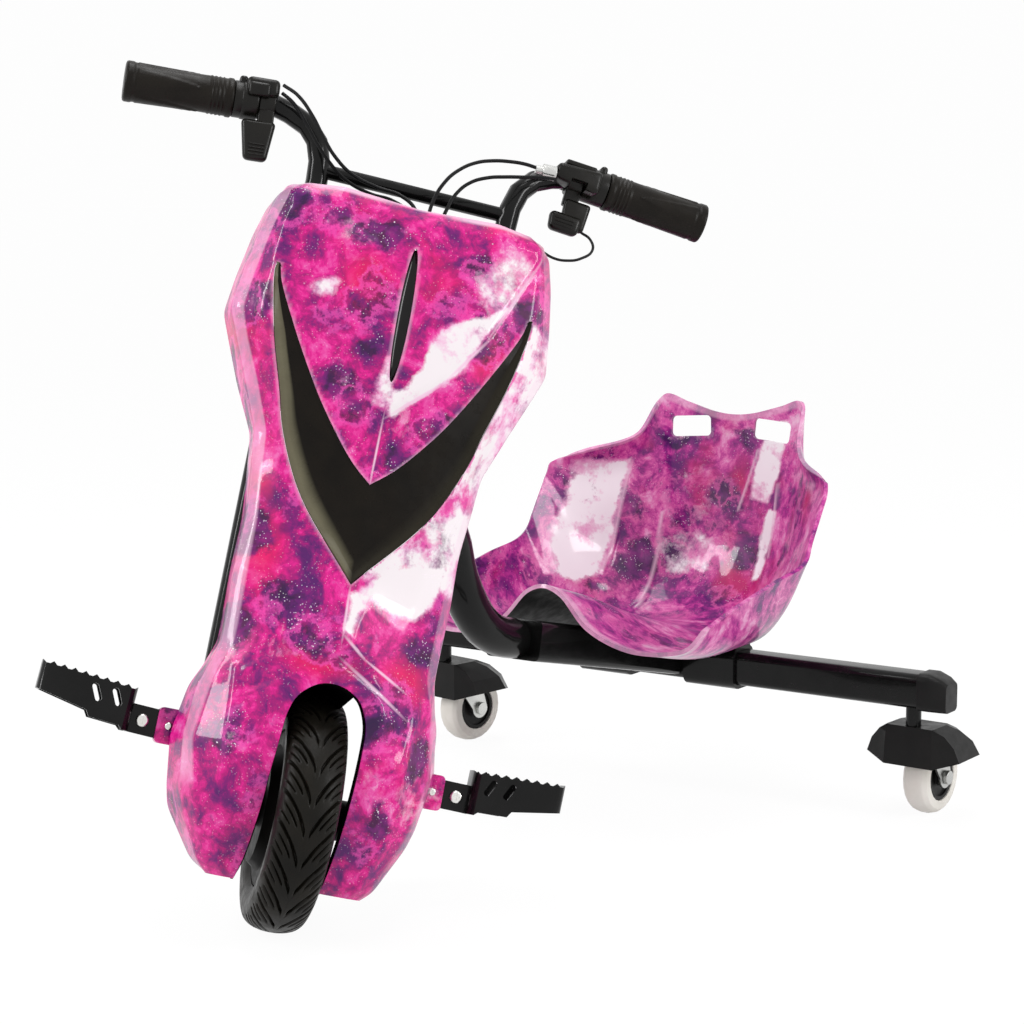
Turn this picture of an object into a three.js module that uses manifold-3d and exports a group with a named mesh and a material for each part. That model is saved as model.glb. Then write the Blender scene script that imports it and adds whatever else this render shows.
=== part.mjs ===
// A child's electric drift trike: a driven front wheel in a raked, steered fork behind a
// moulded fairing, a bucket seat over the rear cross tube, and two free-swivelling casters.
// Millimetres, +Z up. The trike drives towards -Y and +X is the rider's left-hand side.
// The front end is modelled turned to the rider's left, as it stands at rest.

import * as THREE from "three";
import { mergeVertices } from "three/addons/utils/BufferGeometryUtils.js";
import Module from "manifold-3d";

const wasm = await Module();
wasm.setup();

// Clearances shared by all pieces
const fit = 0.3;
const runningGap = 0.5;
const overrun = 4;

// Driving sizes of the whole trike
const wheelbase = 602;
const rakeAngle = THREE.MathUtils.degToRad(19);
const steerAngle = THREE.MathUtils.degToRad(46.4);
const middleBehindNose = 298;

// Front wheel
const tyre = { radius: 100, halfWidth: 25, beadRadius: 66, segments: 40 };
const tyreProfileShares = [
  [0, -0.8],
  [0.18, -0.96],
  [0.53, -1],
  [0.79, -0.88],
  [0.94, -0.56],
  [1, -0.2],
  [1, 0.2],
  [0.94, 0.56],
  [0.79, 0.88],
  [0.53, 1],
  [0.18, 0.96],
  [0, 0.8],
];
const motor = {
  rimHalfWidth: 19.5,
  lipRadius: 61,
  lipHalfWidth: 21,
  drumRadius: 53,
  coverRadius: 47,
  coverHalfWidth: 29.5,
  bossRadius: 17,
  halfWidth: 46,
  segments: 32,
};
const frontAxle = { radius: 6, collarRadius: 10 };

// Fork: two long legs joined by two crowns round the steering stem
const fork = {
  legGap: 86,
  legRadius: 10,
  legSetBack: 6,
  legRise: 15,
  socketDepth: 30,
  bossInner: 56,
  bossOuter: 95,
  bossRadius: 13,
  crownThickness: 8,
  lowerCrown: 182,
  upperCrown: 330,
  crownBack: 22,
  crownFront: 18,
  shelfFront: 46,
  shelfHalfWidth: 52,
  stemRadius: 12,
  sides: 16,
};
const legTop = fork.upperCrown + fork.legRise;
const headTube = { radius: 20, cupHeight: 7.5, cupRadius: 23 };

// Handlebar
const bar = {
  radius: 9.5,
  crossRadius: 6.5,
  crossRise: 26,
  sides: 12,
  steps: 20,
};
const grip = {
  inner: 168,
  outer: 260,
  rise: 71.5,
  outerDrop: 7.9,
  setBack: 14.4,
  radius: 15.8,
  collarRadius: 18,
  collarLength: 7,
  flareRadius: 17.4,
  flareLength: 6,
  flareTaper: 4,
  collarTaper: 2,
  endTaper: 1,
  endWall: 2.5,
  segments: 20,
};
const barBendShares = [
  [0, 0, 0],
  [0, 0, 0.39],
  [-0.006, 0, 0.69],
  [-0.02, 0, 0.8],
  [0.01, 0.02, 0.882],
  [0.12, 0.22, 0.95],
  [0.3, 0.7, 0.985],
  [0.55, 1, 1.0118],
  [0.78, 1, 1.0058],
  [1, 1, 1],
];

// Fairing: shares of its height, half width and depth at each level, from the feet up.
// Columns: level, then half width and depth of the back edge, the side, the face's edge,
// the outer crease and the inner crease, and the depth of the middle.
const fairing = {
  bottom: -61,
  height: 573,
  halfWidth: 137,
  depth: 84,
  wall: 3,
  shoulderRise: 4,
  shoulderShare: 0.95,
};
const fairingLevelShares = [
  [0, 0.442, -0.1, 0.472, 0.33, 0.442, 0.4, 0.38, 0.45, 0.29, 0.45, 0.43],
  [0.012, 0.542, -0.1, 0.532, 0.36, 0.492, 0.45, 0.42, 0.55, 0.31, 0.57, 0.55],
  [0.082, 0.742, -0.18, 0.682, 0.33, 0.622, 0.55, 0.5, 0.73, 0.34, 0.76, 0.74],
  [0.112, 0.772, -0.17, 0.722, 0.33, 0.662, 0.57, 0.51, 0.77, 0.34, 0.82, 0.81],
  [0.185, 0.822, 0, 0.762, 0.35, 0.732, 0.49, 0.53, 0.81, 0.34, 0.88, 0.88],
  [0.258, 0.772, 0.02, 0.742, 0.33, 0.682, 0.51, 0.55, 0.71, 0.35, 0.9, 0.95],
  [0.284, 0.722, 0.075, 0.702, 0.38, 0.662, 0.54, 0.54, 0.7, 0.31, 0.9, 0.98],
  [0.325, 0.66, 0.075, 0.66, 0.45, 0.6, 0.55, 0.48, 0.71, 0.2, 0.92, 0.98],
  [0.358, 0.66, 0.075, 0.66, 0.45, 0.6, 0.55, 0.44, 0.69, 0.075, 0.98, 1],
  [0.436, 0.67, 0.075, 0.67, 0.45, 0.61, 0.55, 0.44, 0.68, 0.15, 0.8, 0.83],
  [0.51, 0.66, 0.075, 0.66, 0.44, 0.61, 0.54, 0.47, 0.68, 0.22, 0.79, 0.8],
  [0.576, 0.69, 0.075, 0.69, 0.43, 0.64, 0.52, 0.53, 0.69, 0.29, 0.79, 0.8],
  [0.63, 0.71, 0.04, 0.71, 0.4, 0.65, 0.5, 0.58, 0.68, 0.33, 0.8, 0.81],
  [0.703, 0.845, -0.1, 0.83, 0.38, 0.77, 0.48, 0.68, 0.69, 0.36, 0.81, 0.83],
  [0.761, 0.945, -0.1, 0.93, 0.36, 0.88, 0.45, 0.76, 0.68, 0.4, 0.81, 0.85],
  [0.803, 1.015, -0.1, 1, 0.35, 0.94, 0.45, 0.82, 0.67, 0.44, 0.81, 0.85],
  [0.86, 0.985, -0.1, 0.97, 0.4, 0.91, 0.5, 0.82, 0.68, 0.48, 0.8, 0.82],
  [0.927, 0.935, -0.1, 0.92, 0.46, 0.86, 0.56, 0.8, 0.68, 0.51, 0.77, 0.79],
  [0.979, 0.875, -0.1, 0.86, 0.5, 0.8, 0.6, 0.76, 0.67, 0.53, 0.73, 0.73],
  [0.993, 0.8, -0.1, 0.8, 0.4, 0.74, 0.5, 0.7, 0.57, 0.48, 0.63, 0.63],
];
const shoulderRiseShares = [0, 1, 0.3, 0, 0, 0];
const fairingTop = fairing.bottom + fairing.height;
const gripHeight = fairingTop + grip.rise;
const crossHeight = fairingTop + bar.crossRise;
const arch = { halfWidth: 31, springHeight: 74, wallStart: 24, segments: 14 };

// V-shaped insert: shares of the fairing's half width and height, outer and inner edge
const chevron = { wall: 3, depth: 5, edgeDepth: 0.6, bevelWidth: 9, bevelShare: 0.5, gap: 0.4 };
const chevronShares = [
  [0.81, 0.8655, 0.795, 0.864],
  [0.73, 0.7725, 0.613, 0.779],
  [0.613, 0.6828, 0.394, 0.693],
  [0.569, 0.6448, 0.263, 0.65],
  [0.409, 0.557, 0.117, 0.6086],
  [0, 0.4345, 0, 0.581],
];
const slot = { halfWidth: 5.5, bottomShare: 0.7312, topShare: 0.932, wall: 4, recess: 2, gap: 0.4 };

// Battery case on the upper crown, behind the chest of the fairing
const battery = { halfWidth: 60, back: 8, front: 52, height: 104, corner: 8 };

// Foot pegs and their brackets
const peg = {
  bracketInner: 93,
  bracketOuter: 124,
  bracketHalfDepth: 8,
  bracketHalfHeight: 15,
  level: 44,
  corner: 4,
  tabHalfDepth: 4,
  tabHalfHeight: 12,
  tabInner: 112,
  loopInner: 146,
  loopOuter: 227,
  setBack: 16.5,
  loopHalfDepth: 17,
  plate: 3,
  loopCorner: 9,
  topRise: 25,
  outerRise: 4,
  toothDepth: 2.2,
  teeth: 9,
  footRise: 3,
  stepRise: 9,
  endRise: 17,
  slotLength: 15,
  slotWidth: 5.5,
  slotLean: 0.5,
  slotPitch: 17,
  slotRise: 13,
  slotStartShare: 0.9,
  footStartShare: 0.07,
  footEndShare: 0.11,
  footSlope: 1,
  stepStartShare: 0.42,
  stepEndShare: 0.46,
  toothFlankShare: 0.35,
  toothFloorShare: 0.7,
};
const pegRises = { L: -6, R: 6 };
const pegTilts = { L: THREE.MathUtils.degToRad(-1.3), R: THREE.MathUtils.degToRad(3) };

// Thumb controls on the bar, one each side
const control = {
  outer: 161,
  drumRadius: 16.5,
  corner: 3,
  ringOuter: 146,
  ringInner: 132,
  ringRadius: 14.5,
  bendGap: 1.2,
  ringGap: 1,
  armTop: 20,
  armHalfWidth: 11.5,
  armMiddle: 141,
  armFront: 12,
  armThickness: 8,
  armDrop: 52,
  tipHalfWidth: 10,
  tipEndHalfWidth: 7,
  neckOverlap: 1,
  swingFront: 15,
  swingBack: 10,
  segments: 20,
};
const paddleShares = { knee: 0.6, pad: 0.85, tip: 0.75 };
const throttleBox = { inner: 130, outer: 158, front: 19, back: 13, top: 18, bottom: 3 };
const brakeBox = { inner: 117, outer: 156, front: 27, back: 13, top: 12, bottom: -14 };
const adjuster = {
  inner: 99,
  radius: 6.5,
  noseRadius: 4,
  noseLength: 6,
  bore: 2,
  forward: 20,
  rise: -6,
  segments: 16,
};
const clampFin = { inner: 157, outer: 164, top: 20, bottom: -8, halfDepth: 9 };

// Rear frame
const axleTube = { size: 34, corner: 8, end: 290, height: 130 };
const axleCap = { length: 29, lip: 1.5, taper: 5, topTaper: 9, bevelLength: 18, edgeLength: 6 };
const rearBeam = {
  width: 60,
  height: 38,
  corner: 5,
  front: 276,
  frontHeight: 193,
  rearHeight: 133,
};
const gooseneck = { radius: 19, sides: 16, steps: 22, headShare: 0.55 };
const gooseneckBackShares = [
  [0.08, 0.93],
  [0.3, 1.02],
  [0.47, 0.9],
  [0.57, 0.7],
  [0.62, 0.47],
  [0.74, 0.19],
  [0.86, 0.06],
];

// Seat: a grid of shares of its half width, length and height, front lip first
const seat = {
  halfWidth: 166,
  front: -226,
  length: 364,
  bottom: 160,
  height: 228,
  wall: 4,
  gridSteps: 2,
};
const seatGridShares = [
  [
    [0, 0, 0.34], [0.12, 0, 0.31], [0.3, 0, 0.18], [0.53, 0.01, 0.11],
    [0.77, 0.01, 0.11], [0.92, 0.02, 0.14], [0.98, 0.05, 0.21],
  ],
  [
    [0, 0.21, 0.24], [0.13, 0.21, 0.21], [0.3, 0.21, 0.12], [0.53, 0.21, 0.05],
    [0.77, 0.21, 0.05], [0.92, 0.21, 0.11], [0.99, 0.21, 0.27],
  ],
  [
    [0, 0.43, 0.11], [0.13, 0.43, 0.1], [0.3, 0.43, 0.06], [0.53, 0.43, 0.02],
    [0.75, 0.43, 0.04], [0.9, 0.41, 0.13], [1, 0.41, 0.33],
  ],
  [
    [0, 0.62, 0.03], [0.13, 0.62, 0.03], [0.3, 0.62, 0.01], [0.52, 0.61, 0],
    [0.71, 0.585, 0.04], [0.87, 0.565, 0.16], [1, 0.58, 0.38],
  ],
  [
    [0, 0.78, 0.02], [0.13, 0.78, 0.02], [0.3, 0.77, 0.02], [0.49, 0.72, 0.03],
    [0.65, 0.67, 0.08], [0.83, 0.63, 0.21], [0.99, 0.62, 0.46],
  ],
  [
    [0, 0.88, 0.1], [0.13, 0.88, 0.1], [0.3, 0.86, 0.1], [0.47, 0.8, 0.1],
    [0.63, 0.72, 0.15], [0.82, 0.675, 0.3], [0.99, 0.65, 0.53],
  ],
  [
    [0, 0.94, 0.25], [0.13, 0.94, 0.25], [0.3, 0.93, 0.26], [0.48, 0.87, 0.27],
    [0.65, 0.79, 0.3], [0.83, 0.71, 0.4], [0.99, 0.68, 0.6],
  ],
  [
    [0, 0.97, 0.48], [0.13, 0.97, 0.48], [0.3, 0.96, 0.49], [0.48, 0.93, 0.5],
    [0.65, 0.84, 0.5], [0.84, 0.75, 0.53], [0.99, 0.7, 0.65],
  ],
  [
    [0, 0.99, 0.71], [0.13, 0.99, 0.72], [0.3, 0.98, 0.73], [0.48, 0.96, 0.74],
    [0.63, 0.89, 0.69], [0.82, 0.79, 0.67], [0.98, 0.71, 0.69],
  ],
  [
    [0, 1, 0.92], [0.14, 1, 0.93], [0.34, 1, 0.97], [0.49, 0.99, 1],
    [0.57, 0.905, 0.82], [0.78, 0.77, 0.75], [0.95, 0.73, 0.71],
  ],
];
const seatSlot = { tilt: THREE.MathUtils.degToRad(3.8), corner: 5 };
const seatSlotShares = { inner: 0.157, outer: 0.434, bottom: 0.807, top: 0.9035 };
const seatBracket = { inner: 34, outer: 92, wall: 4, padHeight: 4.2, padHalfDepth: 14, padOverlap: 1 };

// Casters
const caster = {
  inset: 10,
  trail: 38,
  leftTurn: THREE.MathUtils.degToRad(-3),
  rightTurn: THREE.MathUtils.degToRad(-10),
  wheelRadius: 37.5,
  treadHalfWidth: 13,
  treadBore: 24,
  hubHalfWidth: 12,
  hubDish: 2.5,
  hubRimWidth: 4,
  hubBossRadius: 9,
  boltRadius: 4,
  boltHeadRadius: 7,
  boltHeadLength: 4,
  plateGap: 14.5,
  plate: 2.5,
  eyeRadius: 11,
  crownFront: 6,
  crownBack: 24,
  cheekDrop: 10,
  stemRadius: 7.5,
  pinRadius: 5,
  pinDepth: 24,
  segments: 24,
  shoulderDrop: 5,
  crownDrop: 1.5,
};
const casterTrack = axleTube.end - caster.inset;
const casterTreadShares = { shoulder: 0.7, crown: 0.3 };
const hood = { wall: 2.5, skirt: 55, top: 94, halfWidth: 50, front: -11, length: 88, waistShare: 0.4 };
const hoodSkirtShares = [
  [-0.52, 0],
  [0.52, 0],
  [1, 0.12],
  [0.96, 0.66],
  [0.44, 1],
  [-0.44, 1],
  [-0.96, 0.66],
  [-1, 0.12],
];
const hoodCapShares = [
  [-0.48, 0.02],
  [0.48, 0.02],
  [0.5, 0.06],
  [0.5, 0.36],
  [0.44, 0.44],
  [-0.44, 0.44],
  [-0.5, 0.36],
  [-0.5, 0.06],
];
const hoodRiseShares = [0, 0.45, 0.8, 1];
const hoodDrawShares = [0, 0.22, 0.6, 1];
const hoodTipRiseShares = [0, 0, 0.2, 0.2, 0, 0, 0.2, 0.2];

// Cables: radius and hand-chosen routes in the steered front end, as x, back, up
const cable = { radius: 1.6, thinRadius: 1.2, sides: 8, stepRadii: 6 };
const routeHeights = { low: 442.6, high: 583.5 };
const cableRoutes = {
  throttle_cable: [
    [-128.8, -1, 594], [-118, -4, 587], [-104, -8, 571], [-92, -10, 556], [-79, -10, 543],
    [-62, -10, 531], [-40, -12, 524], [-20, -18, 521], [-8, -26, 512], [-6, -30, 490], [-6, -30, 442.6],
  ],
  throttle_lead: [
    [-128.8, -1, 601], [-116, -9, 593], [-101, -15, 577], [-88, -17, 560], [-76, -17, 547],
    [-58, -17, 535], [-36, -19, 529], [-15, -25, 525], [-1, -32, 513], [1, -37, 490], [1, -37, 442.6],
  ],
  brake_cable: [
    [98, -7, 583], [88, -9, 583], [74, -12, 581], [58, -15, 577], [44, -18, 571], [30, -22, 560],
    [19, -27, 545], [12, -30, 526], [10, -32, 505], [10, -32, 480], [10, -32, 442.6],
  ],
  brake_lead: [
    [116, -14, 575], [104, -17, 573], [88, -18, 569], [72, -19, 565], [56, -20, 560], [42, -21, 552],
    [32, -22, 540], [26, -24, 524], [22, -26, 505], [20, -27, 480], [20, -27, 442.6],
  ],
};
const switchWireRoute = [
  [150, 0, 538], [158, -4, 533], [161, -8, 523], [152, -10, 513], [140, -11, 508], [128, -12, 507],
  [116, -14, 510], [104, -18, 514], [88, -22, 515], [66, -26, 510], [44, -30, 496], [30, -33, 476],
  [28, -34, 442.6],
];

// Finishes
function finish(color, roughness, metalness) {
  return new THREE.MeshStandardMaterial({ color, roughness, metalness });
}
const finishes = {
  film: () => finish(0xd0288c, 0.18, 0),
  blackSteel: () => finish(0x0c0c0d, 0.25, 0.3),
  blackPlastic: () => finish(0x141414, 0.45, 0),
  rubber: () => finish(0x191918, 0.75, 0),
  zinc: () => finish(0xb9bcbc, 0.35, 0.9),
  alloy: () => finish(0x8d8f92, 0.4, 0.9),
  cream: () => finish(0xe4dfcf, 0.5, 0),
};

// Geometry helpers
const vector = (x, y, z) => new THREE.Vector3(x, y, z);

function solidOf(geometry) {
  const bare = geometry.clone();
  bare.deleteAttribute("normal");
  bare.deleteAttribute("uv");
  const merged = mergeVertices(bare);
  const made = (triVerts) =>
    new wasm.Manifold(
      new wasm.Mesh({ numProp: 3, vertProperties: merged.attributes.position.array, triVerts }),
    );
  const solid = made(new Uint32Array(merged.index.array));
  return solid.volume() > 0 ? solid : made(new Uint32Array(merged.index.array).reverse());
}

function geometryOf(solid) {
  const mesh = solid.getMesh();
  const geometry = new THREE.BufferGeometry();
  geometry.setAttribute("position", new THREE.BufferAttribute(mesh.vertProperties, 3));
  geometry.setIndex(new THREE.BufferAttribute(mesh.triVerts, 1));
  const flat = geometry.toNonIndexed();
  flat.computeVertexNormals();
  return flat;
}

function joined(solids) {
  return solids.reduce((whole, solid) => whole.add(solid));
}

function cut(solid, cutters) {
  return cutters.reduce((rest, cutter) => rest.subtract(cutter), solid);
}

// A box between two corners
function block(low, high) {
  const size = high.clone().sub(low);
  const middle = low.clone().add(high).multiplyScalar(0.5);
  return solidOf(new THREE.BoxGeometry(size.x, size.y, size.z).translate(middle.x, middle.y, middle.z));
}

// The turn that takes the +Y axis of a lathe or cylinder to a direction
function turnTo(direction) {
  return new THREE.Quaternion().setFromUnitVectors(vector(0, 1, 0), direction.clone().normalize());
}

// A round bar between two points
function rod(radius, from, to, sides) {
  const span = to.clone().sub(from);
  const geometry = new THREE.CylinderGeometry(radius, radius, span.length(), sides);
  geometry.applyQuaternion(turnTo(span));
  const middle = from.clone().add(to).multiplyScalar(0.5);
  return solidOf(geometry.translate(middle.x, middle.y, middle.z));
}

// A turned piece: profile points are radius and distance along the direction from the origin point
function turned(profile, origin, direction, segments) {
  const points = profile.map(([radius, along]) => new THREE.Vector2(radius, along));
  const geometry = new THREE.LatheGeometry(points, segments);
  geometry.applyQuaternion(turnTo(direction));
  return solidOf(geometry.translate(origin.x, origin.y, origin.z));
}

// A turned ring or bored piece: the profile closes on itself
function turnedRing(profile, origin, direction, segments) {
  return turned([...profile, profile[0]], origin, direction, segments);
}

function shapeOf(points) {
  return new THREE.Shape(points.map(([x, y]) => new THREE.Vector2(x, y)));
}

// Points round a rectangle with rounded corners, anticlockwise
function roundedPoints(halfWidth, halfHeight, radius, segments) {
  const corners = [[1, 1], [-1, 1], [-1, -1], [1, -1]];
  return corners.flatMap(([x, y], quarter) =>
    [...Array(segments + 1).keys()].map((i) => {
      const turn = ((quarter + i / segments) * Math.PI) / 2;
      return [
        x * (halfWidth - radius) + radius * Math.cos(turn),
        y * (halfHeight - radius) + radius * Math.sin(turn),
      ];
    }),
  );
}

function roundedRectangle(halfWidth, halfHeight, radius, segments) {
  return shapeOf(roundedPoints(halfWidth, halfHeight, radius, segments));
}

// A plain prism: the shape's plane is spanned by two axes and it runs from start to end along the third
function prism(shape, start, end, across, up, curveSegments) {
  const depth = end - start;
  const geometry = new THREE.ExtrudeGeometry(shape, { depth, bevelEnabled: false, curveSegments });
  const along = across.clone().cross(up);
  geometry.translate(0, 0, start);
  geometry.applyMatrix4(new THREE.Matrix4().makeBasis(across, up, along));
  return solidOf(geometry);
}

const axisX = vector(1, 0, 0);
const axisY = vector(0, 1, 0);
const axisZ = vector(0, 0, 1);

// Prism along +X: shape in the YZ plane
function prismX(shape, start, end, curveSegments) {
  return prism(shape, start, end, axisY, axisZ, curveSegments);
}

// Prism seen from the front: shape in the XZ plane, from one depth forward of zero to another
function prismForward(shape, start, end, curveSegments) {
  return prism(shape, start, end, axisX, axisZ, curveSegments);
}

// Prism along +Z: shape in the XY plane
function prismZ(shape, start, end, curveSegments) {
  return prism(shape, start, end, axisX, axisY, curveSegments);
}

// A round tube along a smooth curve through points
function bentTube(points, radius, sides, steps) {
  const curve = new THREE.CatmullRomCurve3(points);
  const outline = [...Array(sides).keys()].map((i) => {
    const turn = (2 * Math.PI * i) / sides;
    return new THREE.Vector2(radius * Math.cos(turn), radius * Math.sin(turn));
  });
  const settings = { steps, extrudePath: curve, bevelEnabled: false };
  return solidOf(new THREE.ExtrudeGeometry(new THREE.Shape(outline), settings));
}

// Triangles of a grid of points, rows by columns, facing along row step cross column step
function gridFaces(rows, columns, offset, flipped) {
  const faces = [];
  for (let i = 0; i < rows - 1; i += 1) {
    for (let j = 0; j < columns - 1; j += 1) {
      const a = offset + i * columns + j;
      const b = a + 1;
      const c = a + columns;
      const d = c + 1;
      faces.push(...(flipped ? [a, b, c, b, d, c] : [a, c, b, b, c, d]));
    }
  }
  return faces;
}

// A closed skin between a front grid and a back grid of the same size
function skin(front, back) {
  const rows = front.length;
  const columns = front[0].length;
  const points = [...front.flat(), ...back.flat()];
  const behind = rows * columns;
  const faces = [...gridFaces(rows, columns, 0, false), ...gridFaces(rows, columns, behind, true)];
  const wallAlong = (a, b) => faces.push(a, b, a + behind, b, b + behind, a + behind);
  for (let j = 0; j < columns - 1; j += 1) {
    wallAlong(j, j + 1);
    wallAlong((rows - 1) * columns + j + 1, (rows - 1) * columns + j);
  }
  for (let i = 0; i < rows - 1; i += 1) {
    wallAlong((i + 1) * columns, i * columns);
    wallAlong(i * columns + columns - 1, (i + 1) * columns + columns - 1);
  }
  return solidFromFaces(points, faces);
}

function solidFromFaces(points, faces) {
  const geometry = new THREE.BufferGeometry().setFromPoints(points);
  geometry.setIndex(faces);
  return solidOf(geometry);
}

// A closed loft through rings of equal point count, its two ends closed by fans
function loft(rings) {
  const count = rings[0].length;
  const points = rings.flat();
  const faces = [];
  for (let i = 0; i < rings.length - 1; i += 1) {
    for (let j = 0; j < count; j += 1) {
      const a = i * count + j;
      const b = i * count + ((j + 1) % count);
      faces.push(a, b, a + count, b, b + count, a + count);
    }
  }
  const last = (rings.length - 1) * count;
  for (let j = 1; j < count - 1; j += 1) {
    faces.push(0, j + 1, j);
    faces.push(last, last + j, last + j + 1);
  }
  return solidFromFaces(points, faces);
}

// The grid moved inwards by the wall, along the mean direction of the faces round each point
function offsetGrid(grid, wall) {
  return grid.map((row, i) =>
    row.map((point, j) => {
      const left = row[Math.max(j - 1, 0)];
      const right = row[Math.min(j + 1, row.length - 1)];
      const below = grid[Math.max(i - 1, 0)][j];
      const above = grid[Math.min(i + 1, grid.length - 1)][j];
      const across = right.clone().sub(left).normalize();
      const along = above.clone().sub(below).normalize();
      const normal = across.cross(along).normalize();
      return point.clone().addScaledVector(normal, wall);
    }),
  );
}

// A full row from its half: the other side mirrored in X
function mirroredRow(half) {
  const other = half.slice(1).reverse();
  return [...other.map((p) => vector(-p.x, p.y, p.z)), ...half.map((p) => p.clone())];
}

// Points of a smooth curve through a row of points
function smoothRow(points, steps) {
  const curve = new THREE.CatmullRomCurve3(points, false, "centripetal");
  const spans = points.length - 1;
  return [...Array(spans * steps + 1).keys()].map((i) => curve.getPoint(i / (spans * steps)));
}

function smoothGrid(grid, steps) {
  const rows = grid.map((row) => smoothRow(row, steps));
  const columns = rows[0].map((_, j) => smoothRow(rows.map((row) => row[j]), steps));
  return columns[0].map((_, i) => columns.map((column) => column[i]));
}

// The assembly
const trike = new THREE.Group();
const chassis = new THREE.Group();
const raked = new THREE.Group();
const steered = new THREE.Group();
trike.add(chassis);
chassis.add(raked);
raked.add(steered);
chassis.position.y = middleBehindNose;

function addPiece(group, name, solid, material) {
  const mesh = new THREE.Mesh(geometryOf(solid), material);
  mesh.name = name;
  group.add(mesh);
}

const sides = [
  { name: "L", sign: 1, turn: caster.leftTurn },
  { name: "R", sign: -1, turn: caster.rightTurn },
];

// The turned wheel leans, so its centre is set where the tread meets the ground
function tyrePoints() {
  const wallHeight = tyre.radius - tyre.beadRadius;
  return tyreProfileShares.map(([rise, side]) => [
    tyre.beadRadius + rise * wallHeight,
    side * tyre.halfWidth,
  ]);
}
const axleDip = Math.sin(steerAngle) * Math.sin(rakeAngle);
const wheelUpright = Math.sqrt(1 - axleDip * axleDip);
const wheelHeight = Math.max(...tyrePoints().map(([radius, side]) => radius * wheelUpright + side * axleDip));
raked.position.set(0, -wheelbase, wheelHeight);
raked.rotation.x = -rakeAngle;
steered.rotation.z = steerAngle;

// Front wheel: tyre and hub motor
function tyreSolid() {
  return turnedRing(tyrePoints(), vector(0, 0, 0), axisX, tyre.segments);
}

function motorSolid() {
  const seatRadius = tyre.beadRadius - fit;
  const half = [
    [frontAxle.radius + runningGap, motor.halfWidth],
    [motor.bossRadius, motor.halfWidth],
    [motor.bossRadius, motor.coverHalfWidth],
    [motor.coverRadius, motor.coverHalfWidth],
    [motor.drumRadius, motor.lipHalfWidth],
    [motor.lipRadius, motor.lipHalfWidth],
    [seatRadius, motor.rimHalfWidth],
  ];
  const mirrored = [...half].reverse().map(([radius, along]) => [radius, -along]);
  return turnedRing([...half, ...mirrored], vector(0, 0, 0), axisX, motor.segments);
}

function frontAxleSolid() {
  const end = fork.bossOuter;
  const collarStart = motor.halfWidth + runningGap;
  const collarEnd = fork.bossInner - fit;
  const half = [
    [0, end],
    [frontAxle.radius, end],
    [frontAxle.radius, collarEnd],
    [frontAxle.collarRadius, collarEnd],
    [frontAxle.collarRadius, collarStart],
    [frontAxle.radius, collarStart],
  ];
  const mirrored = [...half].reverse().map(([radius, along]) => [radius, -along]);
  return turned([...half, ...mirrored], vector(0, 0, 0), axisX, fork.sides);
}

addPiece(steered, "front_tyre", tyreSolid(), finishes.rubber());
addPiece(steered, "front_hub_motor", motorSolid(), finishes.alloy());
addPiece(steered, "front_axle", frontAxleSolid(), finishes.zinc());

// Fork
function crownSolid(level, front, halfWidth) {
  const reach = fork.legGap;
  const back = fork.crownBack;
  const outline = shapeOf([
    [-reach, -fork.crownFront],
    [-halfWidth, -front],
    [halfWidth, -front],
    [reach, -fork.crownFront],
    [reach, back],
    [-reach, back],
  ]);
  return prismZ(outline, level, level + fork.crownThickness);
}

function forkSolid() {
  const onLeg = (sign, height) => vector(sign * fork.legGap, fork.legSetBack, height);
  const legs = sides.map(({ sign }) => rod(fork.legRadius, onLeg(sign, 0), onLeg(sign, legTop), fork.sides));
  const bosses = sides.map(({ sign }) => {
    const ends = [vector(sign * fork.bossInner, 0, 0), vector(sign * fork.bossOuter, 0, 0)];
    return rod(fork.bossRadius, ends[0], ends[1], fork.sides);
  });
  const crowns = [
    crownSolid(fork.lowerCrown, fork.crownFront, fork.shelfHalfWidth),
    crownSolid(fork.upperCrown, fork.shelfFront, fork.shelfHalfWidth),
  ];
  const stem = rod(fork.stemRadius, vector(0, 0, fork.lowerCrown), vector(0, 0, fork.upperCrown), fork.sides);
  const socketRadius = bar.radius + 2 * fit;
  const sockets = sides.map(({ sign }) =>
    rod(socketRadius, onLeg(sign, legTop - fork.socketDepth), onLeg(sign, legTop + overrun), fork.sides),
  );
  const reach = fork.legGap + fork.legRadius + overrun;
  const axleBore = rod(frontAxle.radius + fit, vector(-reach, 0, 0), vector(reach, 0, 0), fork.sides);
  return cut(joined([...legs, ...bosses, ...crowns, stem]), [...sockets, axleBore]);
}

addPiece(steered, "fork", forkSolid(), finishes.blackSteel());

// Handlebar: one bent tube each side and the straight cross tube between
const gripStart = (sign) => vector(sign * grip.inner, grip.setBack, gripHeight);
const gripEnd = (sign) => vector(sign * grip.outer, grip.setBack, gripHeight - grip.outerDrop);
const gripAxis = (sign) => gripEnd(sign).sub(gripStart(sign)).normalize();

function barPath(sign) {
  const bottom = legTop - fork.socketDepth + fit;
  const rise = gripHeight - bottom;
  const reach = grip.inner - fork.legGap;
  const back = grip.setBack - fork.legSetBack;
  const points = barBendShares.map(([x, y, z]) =>
    vector(sign * (fork.legGap + x * reach), fork.legSetBack + y * back, bottom + z * rise),
  );
  points.push(gripStart(sign).addScaledVector(gripAxis(sign), 2 * bar.radius));
  return points;
}

function handlebarSolid() {
  const risers = sides.map(({ sign }) => bentTube(barPath(sign), bar.radius, bar.sides, bar.steps));
  const ends = sides.map(({ sign }) => {
    const end = gripEnd(sign).addScaledVector(gripAxis(sign), -grip.endWall - fit);
    return rod(bar.radius, gripStart(sign), end, bar.sides);
  });
  const cross = rod(
    bar.crossRadius,
    vector(-fork.legGap, fork.legSetBack, crossHeight),
    vector(fork.legGap, fork.legSetBack, crossHeight),
    bar.sides,
  );
  return joined([...risers, ...ends, cross]);
}

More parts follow.
